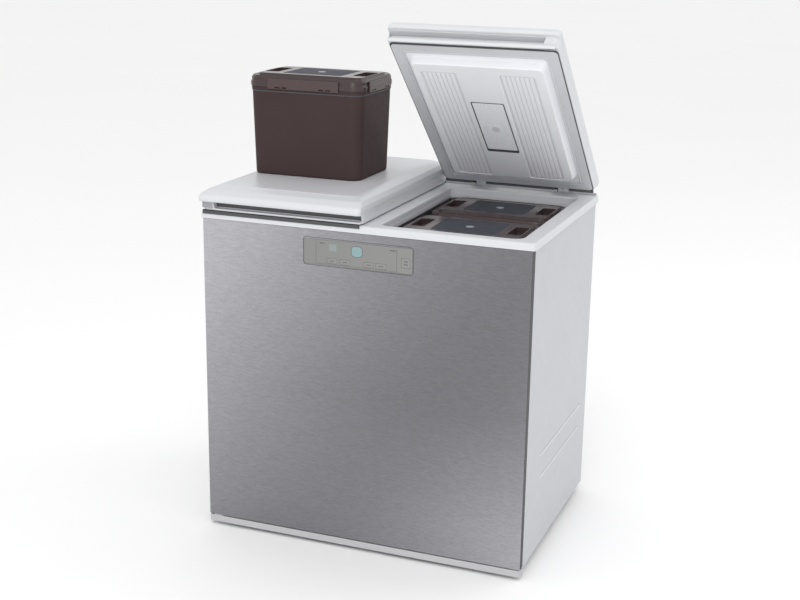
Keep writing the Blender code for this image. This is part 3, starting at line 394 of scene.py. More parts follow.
def turned(axis, centre, rows, count=32):
    """A round solid along an axis, from (level, radius) rows."""
    return skin(*[ring(axis, level, centre, radius, count) for level, radius in rows])


def front_loop(y, low, high, inset, radius, arc=4):
    """A rounded rectangle at y, inset into a box as the front shows it."""
    return loop("Y", y, (low.x + inset, high.x - inset), (low.z + inset, high.z - inset), radius, arc)


def arc_points(centre_x, centre_y, bend, steps):
    """A quarter round from +X towards +Y."""
    turns = [math.pi / 2 * step / steps for step in range(steps + 1)]
    return [(centre_x + bend * math.cos(t), centre_y + bend * math.sin(t)) for t in turns]


def skin(*loops, closed=False):
    """A bmesh through loops of equal length: capped at both ends, or closed on itself."""
    mesh = bmesh.new()
    rows = [[mesh.verts.new(point) for point in points] for points in loops]
    pairs = list(zip(rows, rows[1:]))
    if closed:
        pairs.append((rows[-1], rows[0]))
    for one, two in pairs:
        for i in range(len(one)):
            j = (i + 1) % len(one)
            mesh.faces.new((one[i], one[j], two[j], two[i]))
    if not closed:
        mesh.faces.new(rows[0])
        mesh.faces.new(rows[-1])
    return mesh


def eased(rows, reach=0.002, steps=3):
    """Rows of numbers with each inner one turned into a short curve that starts reach from it."""
    made = [tuple(rows[0])]
    for before, row, after in zip(rows, rows[1:], rows[2:]):
        ends = []
        for other in (before, after):
            share = min(reach / math.dist(row, other), 0.45)
            ends.append([a + (b - a) * share for a, b in zip(row, other)])
        for step in range(steps + 1):
            t = step / steps
            near, middle, far = (1 - t) ** 2, 2 * t * (1 - t), t * t
            made.append(tuple(near * p + middle * q + far * r for p, q, r in zip(ends[0], row, ends[1])))
    made.append(tuple(rows[-1]))
    return made


def block(x, y, z, radius=0.0, arc=4):
    """A box between (low, high) pairs, with upright edges rounded to the radius."""
    return skin(loop("Z", min(z), x, y, radius, arc), loop("Z", max(z), x, y, radius, arc))


def merge(*meshes):
    """Several shells in one bmesh."""
    whole = bmesh.new()
    for mesh in meshes:
        data = bpy.data.meshes.new("scratch")
        mesh.to_mesh(data)
        mesh.free()
        whole.from_mesh(data)
        bpy.data.meshes.remove(data)
    return whole


def boolean(mesh, tool, operation="DIFFERENCE"):
    """The first bmesh cut by, or joined to, the second."""
    items = []
    for shape in (mesh, tool):
        bmesh.ops.recalc_face_normals(shape, faces=shape.faces)
        data = bpy.data.meshes.new("scratch")
        shape.to_mesh(data)
        shape.free()
        item = bpy.data.objects.new("scratch", data)
        bpy.context.scene.collection.objects.link(item)
        items.append(item)
    modifier = items[0].modifiers.new("boolean", "BOOLEAN")
    modifier.operation = operation
    modifier.object = items[1]
    modifier.solver = "EXACT"
    result = bmesh.new()
    result.from_mesh(items[0].evaluated_get(bpy.context.evaluated_depsgraph_get()).to_mesh())
    for item in items:
        data = item.data
        bpy.data.objects.remove(item, do_unlink=True)
        bpy.data.meshes.remove(data)
    return result


def moved(mesh, matrix):
    bmesh.ops.transform(mesh, matrix=matrix, verts=mesh.verts)
    return mesh


# ---------------------------------------------------------------- pieces
def piece(name, mesh, look, body, bevel=0.0, replaces=(), angle=40.0):
    """Links a bmesh as a piece of that finish, riding on a body and standing for any CAD nodes."""
    bmesh.ops.remove_doubles(mesh, verts=mesh.verts, dist=1e-6)
    bmesh.ops.recalc_face_normals(mesh, faces=mesh.faces)
    data = bpy.data.meshes.new(name)
    mesh.to_mesh(data)
    mesh.free()
    data.materials.append(finish(look))
    item = bpy.data.objects.new(name, data)
    bpy.context.scene.collection.objects.link(item)
    soften(item, bevel, angle)
    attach(item, body)
    if replaces:
        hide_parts(*replaces)
    return item


def soften(item, bevel, angle=40.0, segments=3):
    """Smooth shading, with a rounded edge of that width where faces meet sharply."""
    item.data.shade_smooth()
    item.data.set_sharp_from_angle(angle=math.radians(angle))
    if bevel:
        edge = item.modifiers.new("edges", "BEVEL")
        edge.width = bevel
        edge.segments = segments
        edge.limit_method = "ANGLE"
        edge.angle_limit = math.radians(angle)
        edge.harden_normals = False
    even = item.modifiers.new("even", "WEIGHTED_NORMAL")
    even.keep_sharp = not bevel


def stand_in(node, mesh, bevel=0.0, look=None, angle=40.0):
    """A finer piece in place of one CAD node, on its body and with its slot's finish."""
    return piece(node + "_form", mesh, look or SLOT_OF[node], BODY_OF[node], bevel, (node,), angle)


# ---------------------------------------------------------------- cabinet
def outer_case():
    """Steel wrap with two pressed grooves in each side, and strips of painted shade and painted highlight in the
    grooves.
    """
    def side(half, bend, back):
        return [(half, CASE_FRONT), *arc_points(half - bend, back - bend, bend, 8)]

    radius = 0.008
    outside = side(HALF_WIDTH, radius, CASE_REAR)
    inside = side(HALF_WIDTH - SHEET, radius - SHEET, CASE_REAR - SHEET)
    outline = outside + [(-x, y) for x, y in reversed(outside)]
    outline += [(-x, y) for x, y in inside] + list(reversed(inside))
    case = skin(*[[Vector((x, y, z)) for x, y in outline] for z in (CASE_LOW, CASE_HIGH)])
    tools = [block(about(0, 0.360), (CASE_REAR - 0.01, CASE_REAR + 0.01), (0.045, 0.212))]
    for sign in (-1, 1):
        for near, far, level in GROOVES:
            loops = []
            for out, half in GROOVE_PROFILE:
                x = sign * (HALF_WIDTH + out)
                loops.append(loop("X", x, deep(near, far), about(level, half), half, 6))
            tools.append(skin(*loops))
    stand_in("outer_case", boolean(case, merge(*tools)), 0.0004)
    # Painted shade on each groove's upper slope and painted highlight on its lower slope.
    for label, above, half in GROOVE_STRIPS:
        strips = []
        for sign in (-1, 1):
            x = (sign * (HALF_WIDTH - 0.0013), sign * (HALF_WIDTH - 0.0003))
            for near, far, level in GROOVES:
                strips.append(block(x, deep(near + 0.001, far - 0.001), about(level + above, half)))
        piece("side_groove_" + label, merge(*strips), "groove_" + label, "root")


def front_panel():
    """Steel pan with rolled edges and a window for the control panel, over two side returns in a dark steel that
    paints their shade.
    """
    low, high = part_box("front_panel")
    high.z = CASE_HIGH
    skin_depth, back = 0.0012, 0.0205
    rows = [(skin_depth, skin_depth), (back, skin_depth), (back, 0.0), (0.0, 0.0), (0.0, 0.004)]
    rows = rows[:2] + eased(rows[2:], 0.0026, 5)
    pan = skin(*[front_loop(FRONT + depth, low, high, inset, 0.003) for depth, inset in rows])
    window = skin(*[front_loop(y, *CONTROL, -GAP, 0.0055, 6) for y in deep(-0.01, 0.01)])
    stand_in("front_panel", boolean(pan, window), 0.0, angle=30)
    # Side returns in a darkened copy of the steel: painted shade on the panel's edges.
    y, z = deep(0.0030, back - 0.0003), (low.z + 0.002, high.z - 0.001)
    returns = [block((sign * high.x, sign * (high.x + 0.0004)), y, z) for sign in (-1, 1)]
    piece("front_panel_returns", merge(*returns), "return_steel", "root")


def mouth(side, z, out, gap=0.0):
    """The outline of one tub's mouth, widened by a gap and by out, which rounds its corners too."""
    wide = out + gap
    x = (side * (MOUTH_X[0] - wide), side * (MOUTH_X[1] + wide))
    y = deep(MOUTH_DEPTH[0] - wide, MOUTH_DEPTH[1] + wide)
    return loop("Z", z, x, y, MOUTH_RADIUS + out, 10)


def between_hinges(near, far):
    """The stretches of a lid's rear edge that its hinges leave free, as distances from the middle."""
    stops = [near, *[at + half for at in HINGES for half in (-ARM_ROOM, ARM_ROOM)], far]
    return list(zip(stops[::2], stops[1::2]))


def top_frame():
    """Moulded frame, rounded outside and round both mouths, with a groove and a low lip at the rear."""
    low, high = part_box("top_frame")
    loops = []
    for z, inset in eased([(low.z, 0.0), (high.z, 0.0), (high.z, 0.012)], 0.0062, 6):
        x, y = (low.x + inset, high.x - inset), (low.y + inset, high.y - inset)
        loops.append(loop("Z", z, x, y, 0.009, 8))
    rows = eased([(low.z - 0.01, 0.0), (high.z, 0.0), (high.z, 0.010)], 0.0050, 6)
    rows.append((high.z + 0.01, 0.010))
    tools = [skin(*[mouth(side, z, out) for z, out in rows]) for side in (-1, 1)]
    tools.append(block(about(0, 0.4042), deep(*REAR_GROOVE), (low.z + 0.0118, high.z + 0.01)))
    stand_in("top_frame", boolean(skin(*loops), merge(*tools)), angle=30)
    tall = (low.z + 0.006, high.z + 0.0047)
    lip = [block((side * near, side * far), deep(*REAR_LIP), tall)
           for side in (-1, 1) for near, far in between_hinges(0.0, 0.4035)]
    piece("rear_lip", merge(*lip), "white_plastic", "root", 0.0004)


def collar(name, side):
    """White lip that hangs from the frame into one mouth."""
    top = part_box("top_frame")[0].z + 0.0006
    rows = eased([(top, 0.0), (top - 0.0100, 0.0), (top - 0.0100, -0.0012), (top, -0.0012)], 0.0005, 3)
    piece(name, skin(*[mouth(side, z, out) for z, out in rows], closed=True), "white_plastic", "root")


def tub(node, side):
    """Satin liner of one compartment."""
    top, wall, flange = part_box(node)[1].z, TUB_WALL, 0.0085
    inside = [(TUB_FLOOR, -0.020), (TUB_FLOOR, 0.0), (top, 0.0)]
    rim = [(top, flange), (top - wall, flange)]
    outside = [(top - wall, wall), (TUB_FLOOR - wall, wall), (TUB_FLOOR - wall, -0.020)]
    rows = eased(inside, 0.012, 6) + rim + eased(outside, 0.012, 4)
    stand_in(node, skin(*[mouth(side, z, out, 0.0005) for z, out in rows]))


def base_trim():
    """Plinth strip with rounded ends."""
    low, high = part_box("base_trim")
    wall, radius, steps = 0.0025, 0.007, 6
    turns = [math.pi / 2 * step / steps for step in range(steps + 1)]

    def half_outline(inset):
        centre = (high.x - radius, low.y + radius)
        bend = radius - inset
        arc = [(centre[0] + bend * math.sin(t), centre[1] - bend * math.cos(t)) for t in turns]
        return arc + [(high.x - inset, high.y)]

    right = half_outline(0.0)
    inside = half_outline(wall)
    outline = [(-x, y) for x, y in reversed(right)] + right
    outline += list(reversed(inside)) + [(-x, y) for x, y in inside]
    loops = [[Vector((x, y, z)) for x, y in outline] for z in (low.z, high.z)]
    stand_in("base_trim", skin(*loops), 0.0006)


def machine_room_cover():
    """Rear cover with hooded louvres, the power inlet's boss and a row of screws."""
    low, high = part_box("machine_room_cover")
    face, edge, beyond = low.y + 0.0023, 0.0006, (low.y - 0.01, high.y + 0.01)
    rows = ((low.y, 0.0), (face - edge, 0.0), (face, edge))
    plate = skin(*[front_loop(y, low, high, inset, 0.003) for y, inset in rows])
    rows = eased([(low.y + 0.001, 0.015), (high.y, 0.0128), (high.y, 0.0060)], 0.001, 3)
    plate = boolean(plate, turned("Y", INLET, rows), "UNION")
    tools = [turned("Y", INLET, [(y, INLET_HOLE) for y in beyond])]
    profile = ((low.y + 0.0008, 0.0048), (high.y - 0.0008, 0.0012), (high.y - 0.0016, -0.0006),
               (low.y + 0.0008, 0.0024))
    hoods = []
    for column in LOUVRE_COLUMNS:
        for row in range(LOUVRE_ROWS):
            x, level = about(column, 0.058), 0.078 + LOUVRE_PITCH * row
            tools.append(block(x, beyond, about(level, 0.0035)))
            hoods.append(skin(*[[Vector((end, y, level + z)) for y, z in profile] for end in x]))
    stand_in("machine_room_cover", boolean(plate, merge(*tools)), 0.0003)
    piece("machine_room_louvres", merge(*hoods), "grey_plastic", "root", 0.0002)
    screws = [screw((x, face, z), "Y", 0.0042) for x in (-0.350, -0.06, 0.095, 0.350) for z in (0.044, 0.213)]
    piece("machine_room_screws", merge(*screws), "zinc_steel", "root", angle=30)


def screw(at, axis, radius, height=0.0016):
    """A pan head with a cross recess, standing out along an axis from a point."""
    index = "XYZ".index(axis)
    level = at[index]
    centre = tuple(value for i, value in enumerate(at) if i != index)
    rows = [(level - 0.0004, radius), (level + height * 0.5, radius), (level + height, radius * 0.62),
            (level + height * 1.05, radius * 0.2)]
    levels, slots = (level + height * 0.45, level + height * 2), []
    for long, short in ((0.6, 0.14), (0.14, 0.6)):
        a, b = about(centre[0], radius * long), about(centre[1], radius * short)
        slots.append(skin(*[loop(axis, z, a, b, 0.0, 1) for z in levels]))
    return boolean(turned(axis, centre, rows, 20), boolean(*slots, "UNION"))


# ---------------------------------------------------------------- control panel
def control_panel():
    """Silver overlay with key openings, lamps and plain printed marks."""
    face = FRONT - 0.0004
    rows = eased([(FRONT + 0.0036, 0.0), (face, 0.0), (face, 0.004)], 0.0006, 4)
    overlay = skin(*[front_loop(y, *CONTROL, inset, 0.0052, 6) for y, inset in rows])
    openings = [skin(*[front_loop(y, *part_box(key), -0.0004, 0.0016) for y in deep(-0.01, 0.01)])
                for key in KEYS]
    stand_in("control_panel", boolean(overlay, merge(*openings)), 0.0, angle=30)
    for key in KEYS:
        key_cap(key)
    marks(face)


def key_cap(key):
    """Cap with a rounded face and a stem."""
    low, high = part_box(key)
    middle, back = (low + high) / 2, low.y + 0.0022
    rows = eased([(low.y, 0.0010), (low.y, 0.0), (back, 0.0)], 0.0004, 3)
    loops = [front_loop(y, low, high, inset, 0.0014) for y, inset in rows]
    for y in (back, high.y):
        loops.append(loop("Y", y, about(middle.x, 0.003), about(middle.z, 0.003), 0.001, 4))
    stand_in(key, skin(*loops), angle=30)


def marks(face):
    """Thin printed lines, lamps and dashes, raised a hair above the overlay."""
    def bar(x, z, half_x, half_z, raised=0.00012, radius=0.0):
        a, b = about(x, half_x), about(z, half_z)
        return skin(*[loop("Y", y, a, b, radius, 4) for y in (face - raised, face + 0.0002)])

    def put(part, mesh, look):
        piece("control_panel_" + part, mesh, look, "root")

    low, high = CONTROL
    middle = (low + high) / 2
    frame_lines = [
        bar(low.x + 0.0300, middle.z, 0.00030, 0.0270),
        bar(high.x - 0.0375, middle.z, 0.00030, 0.0270),
        bar(middle.x - 0.0038, low.z + 0.0028, 0.1000, 0.00025),
    ]
    put("lines", merge(*frame_lines), "ink_dark")
    dashes = []
    for x, z, count, pitch in DASH_ROWS:
        dashes += [bar(x + pitch * number, z, 0.0016, 0.0010) for number in range(count)]
    centres = [(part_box(key)[0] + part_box(key)[1]) / 2 for key in KEYS]
    for centre in centres[:4]:
        dashes += [bar(centre.x + offset, centre.z, 0.0014, 0.0008) for offset in (-0.0038, 0.0, 0.0038)]
    dashes += [bar(centres[4].x, centres[4].z + level, 0.0050, 0.0008) for level in (0.0035, -0.0035)]
    put("dashes", merge(*dashes), "ink_dark")
    rim = []
    back, front, width = FRONT + 0.0002, face - 0.0002, 0.0009
    for y, out in ((back, 0.0), (front, 0.0), (front, width), (back, width)):
        x = (low.x - 0.0016 - out, high.x + 0.0020 + out)
        z = (low.z - 0.0020 - out, high.z + 0.0030 + out)
        rim.append(loop("Y", y, x, z, 0.0075 + out, 8))
    put("rim", skin(*rim, closed=True), "ink_dark")
    put("lamp_left", bar(*LAMP_LEFT, 0.0095, 0.0080, 0.0002, 0.0015), "lens_teal")
    put("lamp_edge", bar(*LAMP_MIDDLE, 0.0138, 0.0130, 0.0001, 0.0085), "ink_dark")
    put("lamp_middle", bar(*LAMP_MIDDLE, 0.0128, 0.0120, 0.0002, 0.0075), "lens_cyan")


# ---------------------------------------------------------------- lids
class Lid:
    """One lid's outlines, in the space of its hinge line, and the way from there to the frame."""

    def __init__(self, side):
        self.name = "left_lid" if side < 0 else "right_lid"
        self.side = side
        cover_low, cover_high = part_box(self.name + "_cover")
        ends = (cover_high.x, cover_low.x) if side < 0 else (cover_low.x, cover_high.x)
        self.inner, self.outer = ends
        self.width = cover_high.x - cover_low.x
        joint = JOINTS[self.name + "_hinge"]
        self.hinge = Vector((0.0, joint["pos_m"][1], joint["pos_m"][2]))
        opened = -math.radians(joint["range_deg"][0])
        self.to_frame = Matrix.Translation(self.hinge) @ Matrix.Rotation(-opened, 4, "X")

    def y(self, u):
        return FRONT + LID_EDGE_DEPTH - u - self.hinge.y

    def z(self, n):
        return LID_FACE_HEIGHT + n - self.hinge.z

    def across(self, from_inner, from_outer):
        return (self.inner + self.side * from_inner, self.outer - self.side * from_outer)

    def outline(self, n, inner, outer, rear, front, radius, arc=8):
        """Rounded rectangle at height n, inset at the inner and outer ends, u from rear to front."""
        return loop("Z", self.z(n), self.across(inner, outer), (self.y(front), self.y(rear)), radius, arc)

    def stand_in(self, part, mesh, *values, **more):
        return stand_in(f"{self.name}_{part}", moved(mesh, self.to_frame), *values, **more)

    def extra(self, part, mesh, look, *values, **more):
        body = BODY_OF[f"{self.name}_cover"]
        return piece(f"{self.name}_{part}", moved(mesh, self.to_frame), look, body, *values, **more)

    def bar(self, ends, profile):
        """A bar between two x values, with a profile of (u, n) points."""
        return skin(*[[Vector((x, self.y(u), self.z(n))) for u, n in profile] for x in ends])

    def slab(self, x, u, n, radius=0.0):
        """A block between pairs of x, u and n."""
        return block(x, (self.y(u[0]), self.y(u[1])), (self.z(n[0]), self.z(n[1])), radius)

    def box(self, x, u, n, radius=0.0):
        """The same, with distances from the cabinet's middle for x."""
        return self.slab((self.side * x[0], self.side * x[1]), u, n, radius)

    def pockets(self):
        """Cutters for the two hinge pockets."""
        y, z = (FRONT + POCKET_DEPTH - self.hinge.y, 0.060), (self.z(-0.010), self.z(0.0515))
        return merge(*[block(about(self.side * at, POCKET_HALF), y, z) for at in HINGES])


def lid_cover(lid):
    """Outer moulding: crested border, sloping front, lip and the finger recess under it."""
    wall = LID_WALL
    inside = [
        (LID_TOP - wall, 0.036, 0.036, 0.012, 0.539, 0.012),
        (0.0480 - wall, 0.0165 + wall, 0.0165 + wall, -0.003, 0.564, 0.010),
        (0.0315 - wall, wall, wall, -0.0105, 0.5950, 0.006),
        (0.0240, wall, wall, -0.0105, 0.5925, 0.006),
        (0.0236, wall, wall, -0.0105, GRIP_BACK - 0.003, 0.006),
        (0.0180, 0.003, 0.0035, -0.0105, GRIP_BACK - 0.003, 0.008),
        (0.0000, 0.0040, 0.0060, 0.0035, GRIP_BACK - 0.001, 0.008),
    ]
    under = [
        (0.0000, 0.0018, 0.0040, -0.0015, 0.5825, 0.016),
        (0.0180, 0.0005, 0.0012, -0.0130, 0.5845, 0.014),
        (0.0208, 0.0002, 0.0003, -0.0132, 0.5880, 0.012),
    ]
    outside = [
        (0.0208, 0.0002, 0.0003, -0.0132, 0.5890, 0.010),
        (0.0212, 0.0, 0.0, -0.0132, 0.5955, 0.010),
        (0.0285, 0.0, 0.0, -0.0132, LIP, 0.010),
        (0.0300, 0.0, 0.0, -0.0132, 0.5968, 0.010),
        (0.0385, 0.0016, 0.0016, -0.0125, 0.5930, 0.012),
        (0.0480, 0.0095, 0.0140, -0.0080, 0.5700, 0.014),
        (0.0530, 0.0235, 0.0290, 0.0040, 0.5480, 0.016),
        (0.0552, 0.0345, 0.0338, 0.0100, 0.5410, 0.016),
        (0.0543, 0.0362, 0.0356, 0.0118, 0.5385, 0.016),
        (LID_TOP - 0.0002, 0.0420, 0.0420, 0.0180, 0.5300, 0.014),
    ]
    rows = inside + eased(under, 0.0012, 3) + eased(outside, 0.0030, 4)
    mesh = skin(*[lid.outline(*row) for row in rows])
    near, far = lid.across(0.0030, GRIP_BLOCK)
    corners = ((near, GRIP_LOW), (far - lid.side * 0.0035, GRIP_LOW), (far, GRIP_HIGH), (near, GRIP_HIGH))
    recess = skin(*[[Vector((x, lid.y(u), lid.z(n))) for x, n in corners] for u in (0.6050, GRIP_BACK)])
    mesh = boolean(boolean(mesh, recess), lid.pockets())
    lid.stand_in("cover", mesh, 0.0004, angle=38)
    recess_shading(lid, near + lid.side * 0.0004, far - lid.side * 0.0016)


def recess_shading(lid, near, far):
    """Painted shade in the finger recess: a strip on its back wall, near-black on the closed lid and paler on the
    open one, a shaded sill below it and, on the closed lid, a grey end plate.
    """
    back, top = (GRIP_BACK + 0.0003, GRIP_BACK + 0.0012), GRIP_HIGH - 0.0003
    profile = ((back[0], top), (back[1], top), (back[1], GRIP_HIGH - 0.0128), (back[0], GRIP_HIGH - 0.0136))
    closed = lid.side < 0
    lid.extra("grip_strip", lid.bar((near, far), profile), "grip_grey" if closed else "liner_shade")
    sill = lid.slab(lid.across(0.0045, GRIP_BLOCK + 0.001), (0.5832, 0.5820), (0.0006, 0.0038))
    lid.extra("sill", sill, "liner_shade")
    if closed:
        x = lid.across(lid.width - GRIP_BLOCK + 0.0015, 0.0065)
        lid.extra("grip_end", lid.slab(x, (0.5852, 0.5830), (0.0050, 0.0190)), "shade_grey")


def lid_liner(lid):
    """Inner panel: flat border, plug with ribbed fields and the flap's opening."""
    wall, plug, edge = LID_WALL, PLUG_INSET, (0.0045, 0.0066)
    rear, front = PLUG_U
    back = [
        (-PLUG_DEPTH + wall, plug + wall + 0.006, plug + wall + 0.006, rear + 0.0085, front - 0.0085, 0.010),
        (wall, plug + wall, plug + wall, rear + 0.0025, front - 0.0025, 0.012),
        (wall, *edge, 0.0042, GRIP_BACK - 0.0040, 0.008),
    ]
    face = [
        (0.0, *edge, 0.0042, GRIP_BACK - 0.0015, 0.008),
        (0.0, plug, plug, rear, front, 0.016),
        (-PLUG_DEPTH, plug + 0.006, plug + 0.006, rear + 0.006, front - 0.006, 0.014),
        (-PLUG_DEPTH, plug + 0.014, plug + 0.014, rear + 0.014, front - 0.014, 0.010),
    ]
    mesh = skin(*[lid.outline(*row) for row in back + eased(face, 0.0028, 5)])
    ease = 0.0022
    (x_a, x_b), (u_a, u_b) = FLAP_X, FLAP_U
    tools = [lid.box((x_a - ease, x_b + ease), (u_a - 0.0004, u_b + ease), (-0.030, 0.001), 0.003)]
    for ends in RIB_PANELS:
        x = (lid.side * ends[0], lid.side * ends[1])
        y = (lid.y(RIB_U[1]), lid.y(RIB_U[0]))
        loops = []
        for n, out in ((-0.030, 0.0012), (-PLUG_DEPTH, 0.0010), (-PLUG_DEPTH + FIELD_DEPTH, -0.0004)):
            pair, long = (min(x) - out, max(x) + out), (y[0] - out, y[1] + out)
            loops.append(loop("Z", lid.z(n), pair, long, 0.006, 6))
        tools.append(skin(*loops))
    # The liner in the brighter copy of the white: painted light.
    lid.stand_in("liner", boolean(mesh, merge(*tools)), 0.0003, "liner_white", 30)
    for number, ends in enumerate(RIB_PANELS, 1):
        rib_sheet(lid, number, ends)


def rib_sheet(lid, number, ends):
    """Fine ribs that run to and fro along u over a shaded floor, in one of the plug's two fields."""
    count, margin, (rear, front) = 7, 0.005, RIB_U
    pitch = (ends[1] - ends[0] - 2 * margin) / count
    floor, crest = -PLUG_DEPTH + FIELD_DEPTH, -PLUG_DEPTH + 0.0006
    rows = ((rear + 0.004, 0.0010), (rear + 0.007, 0.0), (front - 0.007, 0.0), (front - 0.004, 0.0010))
    ribs = []
    for i in range(count):
        left = ends[0] + margin + pitch * i
        profile = ((left + 0.14 * pitch, floor + 0.0003, 0.0), (left + 0.20 * pitch, crest, 1.0),
                   (left + 0.84 * pitch, crest, 1.0), (left + 0.90 * pitch, floor + 0.0003, 0.0))
        ribs.append(skin(*[[Vector((lid.side * x, lid.y(u), lid.z(n + drop * top))) for x, n, top in profile]
                           for u, drop in rows]))
    # Ribs in the brighter copy of the white: painted light.
    lid.extra(f"liner_ribs_{number}", merge(*ribs), "liner_white", 0.0002, angle=20)
    x, u = (ends[0] + 0.0012, ends[1] - 0.0012), (rear + 0.0012, front - 0.0012)
    sheet = lid.box(x, u, (floor - 0.0002, floor + 0.0004), 0.005)
    lid.extra(f"liner_field_{number}", sheet, "liner_shade")


def gasket_loop(lid, n, inset, radius, front_inset):
    inner, outer, rear, front = GASKET_INSET
    return lid.outline(n, inner + inset, outer + inset, rear + inset, front - front_inset, radius)


def lid_gasket(lid):
    """Magnetic seal: a flat band with a rounded edge, a soft groove inside it and a dark line of painted shadow
    outside.
    """
    width, height = GASKET_WIDTH, -GASKET_HEIGHT
    rows = [
        (-GAP, 0.0), (height, 0.0), (height, width - 0.0075), (height + 0.0012, width - 0.0062),
        (height + 0.0012, width - 0.0050), (height, width - 0.0038), (height, width), (-GAP, width),
    ]
    loops = [gasket_loop(lid, n, inset, 0.010, inset) for n, inset in eased(rows, 0.0006, 3)]
    lid.stand_in("gasket", skin(*loops, closed=True), angle=30)
    rows = ((-GAP, -0.0002), (-0.0012, -0.0002), (-0.0012, 0.0022), (-GAP, 0.0022))
    shade = [gasket_loop(lid, n, -out, 0.011, -out * 2.6) for n, out in rows]
    lid.extra("seal_shadow", skin(*shade, closed=True), "dark_gap")
    rear_seal(lid)
    front_seal(lid)


def rear_seal(lid):
    """Soft strip that hangs in the frame's rear groove, with a cheek at each side of a hinge pocket, near-black as
    painted shade of the gap behind the lid.
    """
    profile = [(0.0046, -0.0002), (0.0046, -0.0068), (0.0, -0.0068), (-0.0022, -0.0050), (-0.0022, -0.0002)]
    profile = eased(profile, 0.0008, 3)
    ends = sorted(abs(x) for x in lid.across(0.0040, 0.0070))
    strips = [lid.bar((lid.side * near, lid.side * far), profile) for near, far in between_hinges(*ends)]
    for at in HINGES:
        for sign in (-1, 1):
            x = (at + sign * (ARM_ROOM - 0.0005), at + sign * (POCKET_HALF + 0.0002))
            strips.append(lid.box(x, (-0.0010, 0.0155), (0.0002, 0.0300)))
    lid.extra("rear_seal", merge(*strips), "grip_grey")


def front_seal(lid):
    """Skirt under the front edge, which fills the gap down to the front panel when the lid is closed: near-black
    as painted shadow on the closed lid, a shaded white on the open one.
    """
    x, face = lid.across(0.0045, 0.0075), 0.5864
    skirt = lid.slab(x, (face, 0.5849), (-0.0092, 0.0004), 0.0006)
    bridge = lid.slab(x, (face, 0.5815), (-0.0008, 0.0004), 0.0006)
    lid.extra("front_seal", merge(skirt, bridge), "dark_gap" if lid.side < 0 else "liner_shade")


def deodoriser_cover(lid):
    """Dimpled flap with a stepped outline, a dial and two small catches, over a grey backing of painted shade."""
    node = f"{lid.name}_deodoriser_cover"
    (x_a, x_b), (u_a, u_b) = FLAP_X, FLAP_U
    face, back = -PLUG_DEPTH, -PLUG_DEPTH + 0.0020
    middle, half = lid.side * (x_a + x_b) / 2, (x_b - x_a) / 2
    y = (lid.y(u_b), lid.y(u_a))

    def put(part, mesh, look, *values, **more):
        piece(node + part, moved(mesh, lid.to_frame), look, BODY_OF[node], *values, **more)

    def flat_loop(z, out, far_out, near_out, radius, arc=6):
        return loop("Z", z, about(middle, half + out), (y[0] - far_out, y[1] + near_out), radius, arc)

    rows = eased([(back, 0.0), (face, 0.0), (face, 0.003)], 0.0006, 3)
    mesh = skin(*[flat_loop(lid.z(n), -inset, -inset, -inset, 0.005, 5) for n, inset in rows])
    tools = [block(about(middle, 0.006), (y[1] - 0.004, y[1] + 0.01), (lid.z(-0.03), lid.z(0.0)))]
    lines = (((x_a + 0.0125, x_a + 0.0139), (0.250, 0.295)), ((x_b - 0.0149, x_b - 0.0135), (0.250, 0.295)),
             ((x_a + 0.0125, x_b - 0.0135), (0.2940, 0.2954)))
    tools += [lid.box(x, u, (face - 0.01, face + 0.0009)) for x, u in lines]
    for part in tools:
        mesh = boolean(mesh, part)
    put("_form", mesh, "flap_white", 0.0002, (node,), 30)
    rows = [(lid.z(face + 0.0003), 0.0105), (lid.z(face - 0.0004), 0.0100), (lid.z(face - 0.0004), 0.002)]
    dial = turned("Z", (middle, lid.y(0.271)), eased(rows, 0.0004, 3))
    put("_dial", dial, "white_plastic", angle=30)
    z = (lid.z(face - 0.0002), lid.z(face + 0.0004))
    catches = [block(about(middle + lid.side * offset, 0.0016), about(lid.y(0.1815), 0.0014), z)
               for offset in (-0.0048, 0.0048)]
    put("_catches", merge(*catches), "dark_gap")
    low, high = lid.z(face - 0.0002), lid.z(face + 0.0015)
    outside = [flat_loop(z, 0.0028, 0.0028, 0.0003, 0.004) for z in (low, high)]
    inside = [flat_loop(z, 0.0001, 0.0001, -0.0100, 0.003) for z in (high, low)]
    lid.extra("deodoriser_shadow", skin(*outside, *inside, closed=True), "dark_gap")
    # Grey backing behind the flap, seen through the gap round it: painted shade.
    x, u = (x_a - 0.0015, x_b + 0.0015), (u_a + 0.0002, u_b + 0.0015)
    lid.extra("deodoriser_tray", lid.box(x, u, (face + 0.0022, face + 0.0027), 0.002), "shade_grey")


def catch_plate(lid):
    """Plate with two bright cross-head screws under the solid end of the front edge."""
    x = lid.across(lid.width - GRIP_BLOCK - 0.004, 0.0100)
    y = (lid.y(0.5818), lid.y(0.5685))
    z = (lid.z(-0.0014), lid.z(-GAP))
    lid.stand_in("catch_plate", block(x, y, z, 0.003), 0.0004)
    middle = (x[0] + x[1]) / 2
    heads = []
    for offset in (-0.0085, 0.0085):
        head = screw((middle + offset, (y[0] + y[1]) / 2, 0.0), "Z", 0.0040, 0.0013)
        moved(head, Matrix.Translation((0, 0, z[0])) @ Matrix.Diagonal((1, 1, -1, 1)))
        heads.append(head)
    lid.extra("catch_screws", merge(*heads), "zinc_steel", angle=30)


def hinge_fixings(lid):
    """Screws through each hinge plate on the cabinet's rear, and a dark flange behind its arm."""
    for number, distance in enumerate(HINGES, 1):
        node = f"{lid.name}_hinge_base_{number}"
        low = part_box(node)[0]
        x = lid.side * distance
        heads = [screw((x + offset, low.y + 0.0030, z), "Y", 0.0036)
                 for offset in (-0.010, 0.010) for z in (low.z + 0.010, low.z + 0.050)]
        piece(node + "_screws", merge(*heads), "zinc_steel", "root", angle=30)
        flange = block(about(x, FLANGE_HALF), deep(*FLANGE_DEPTH), FLANGE_Z, 0.0005)
        piece(node + "_flange", flange, "black_plastic", "root")


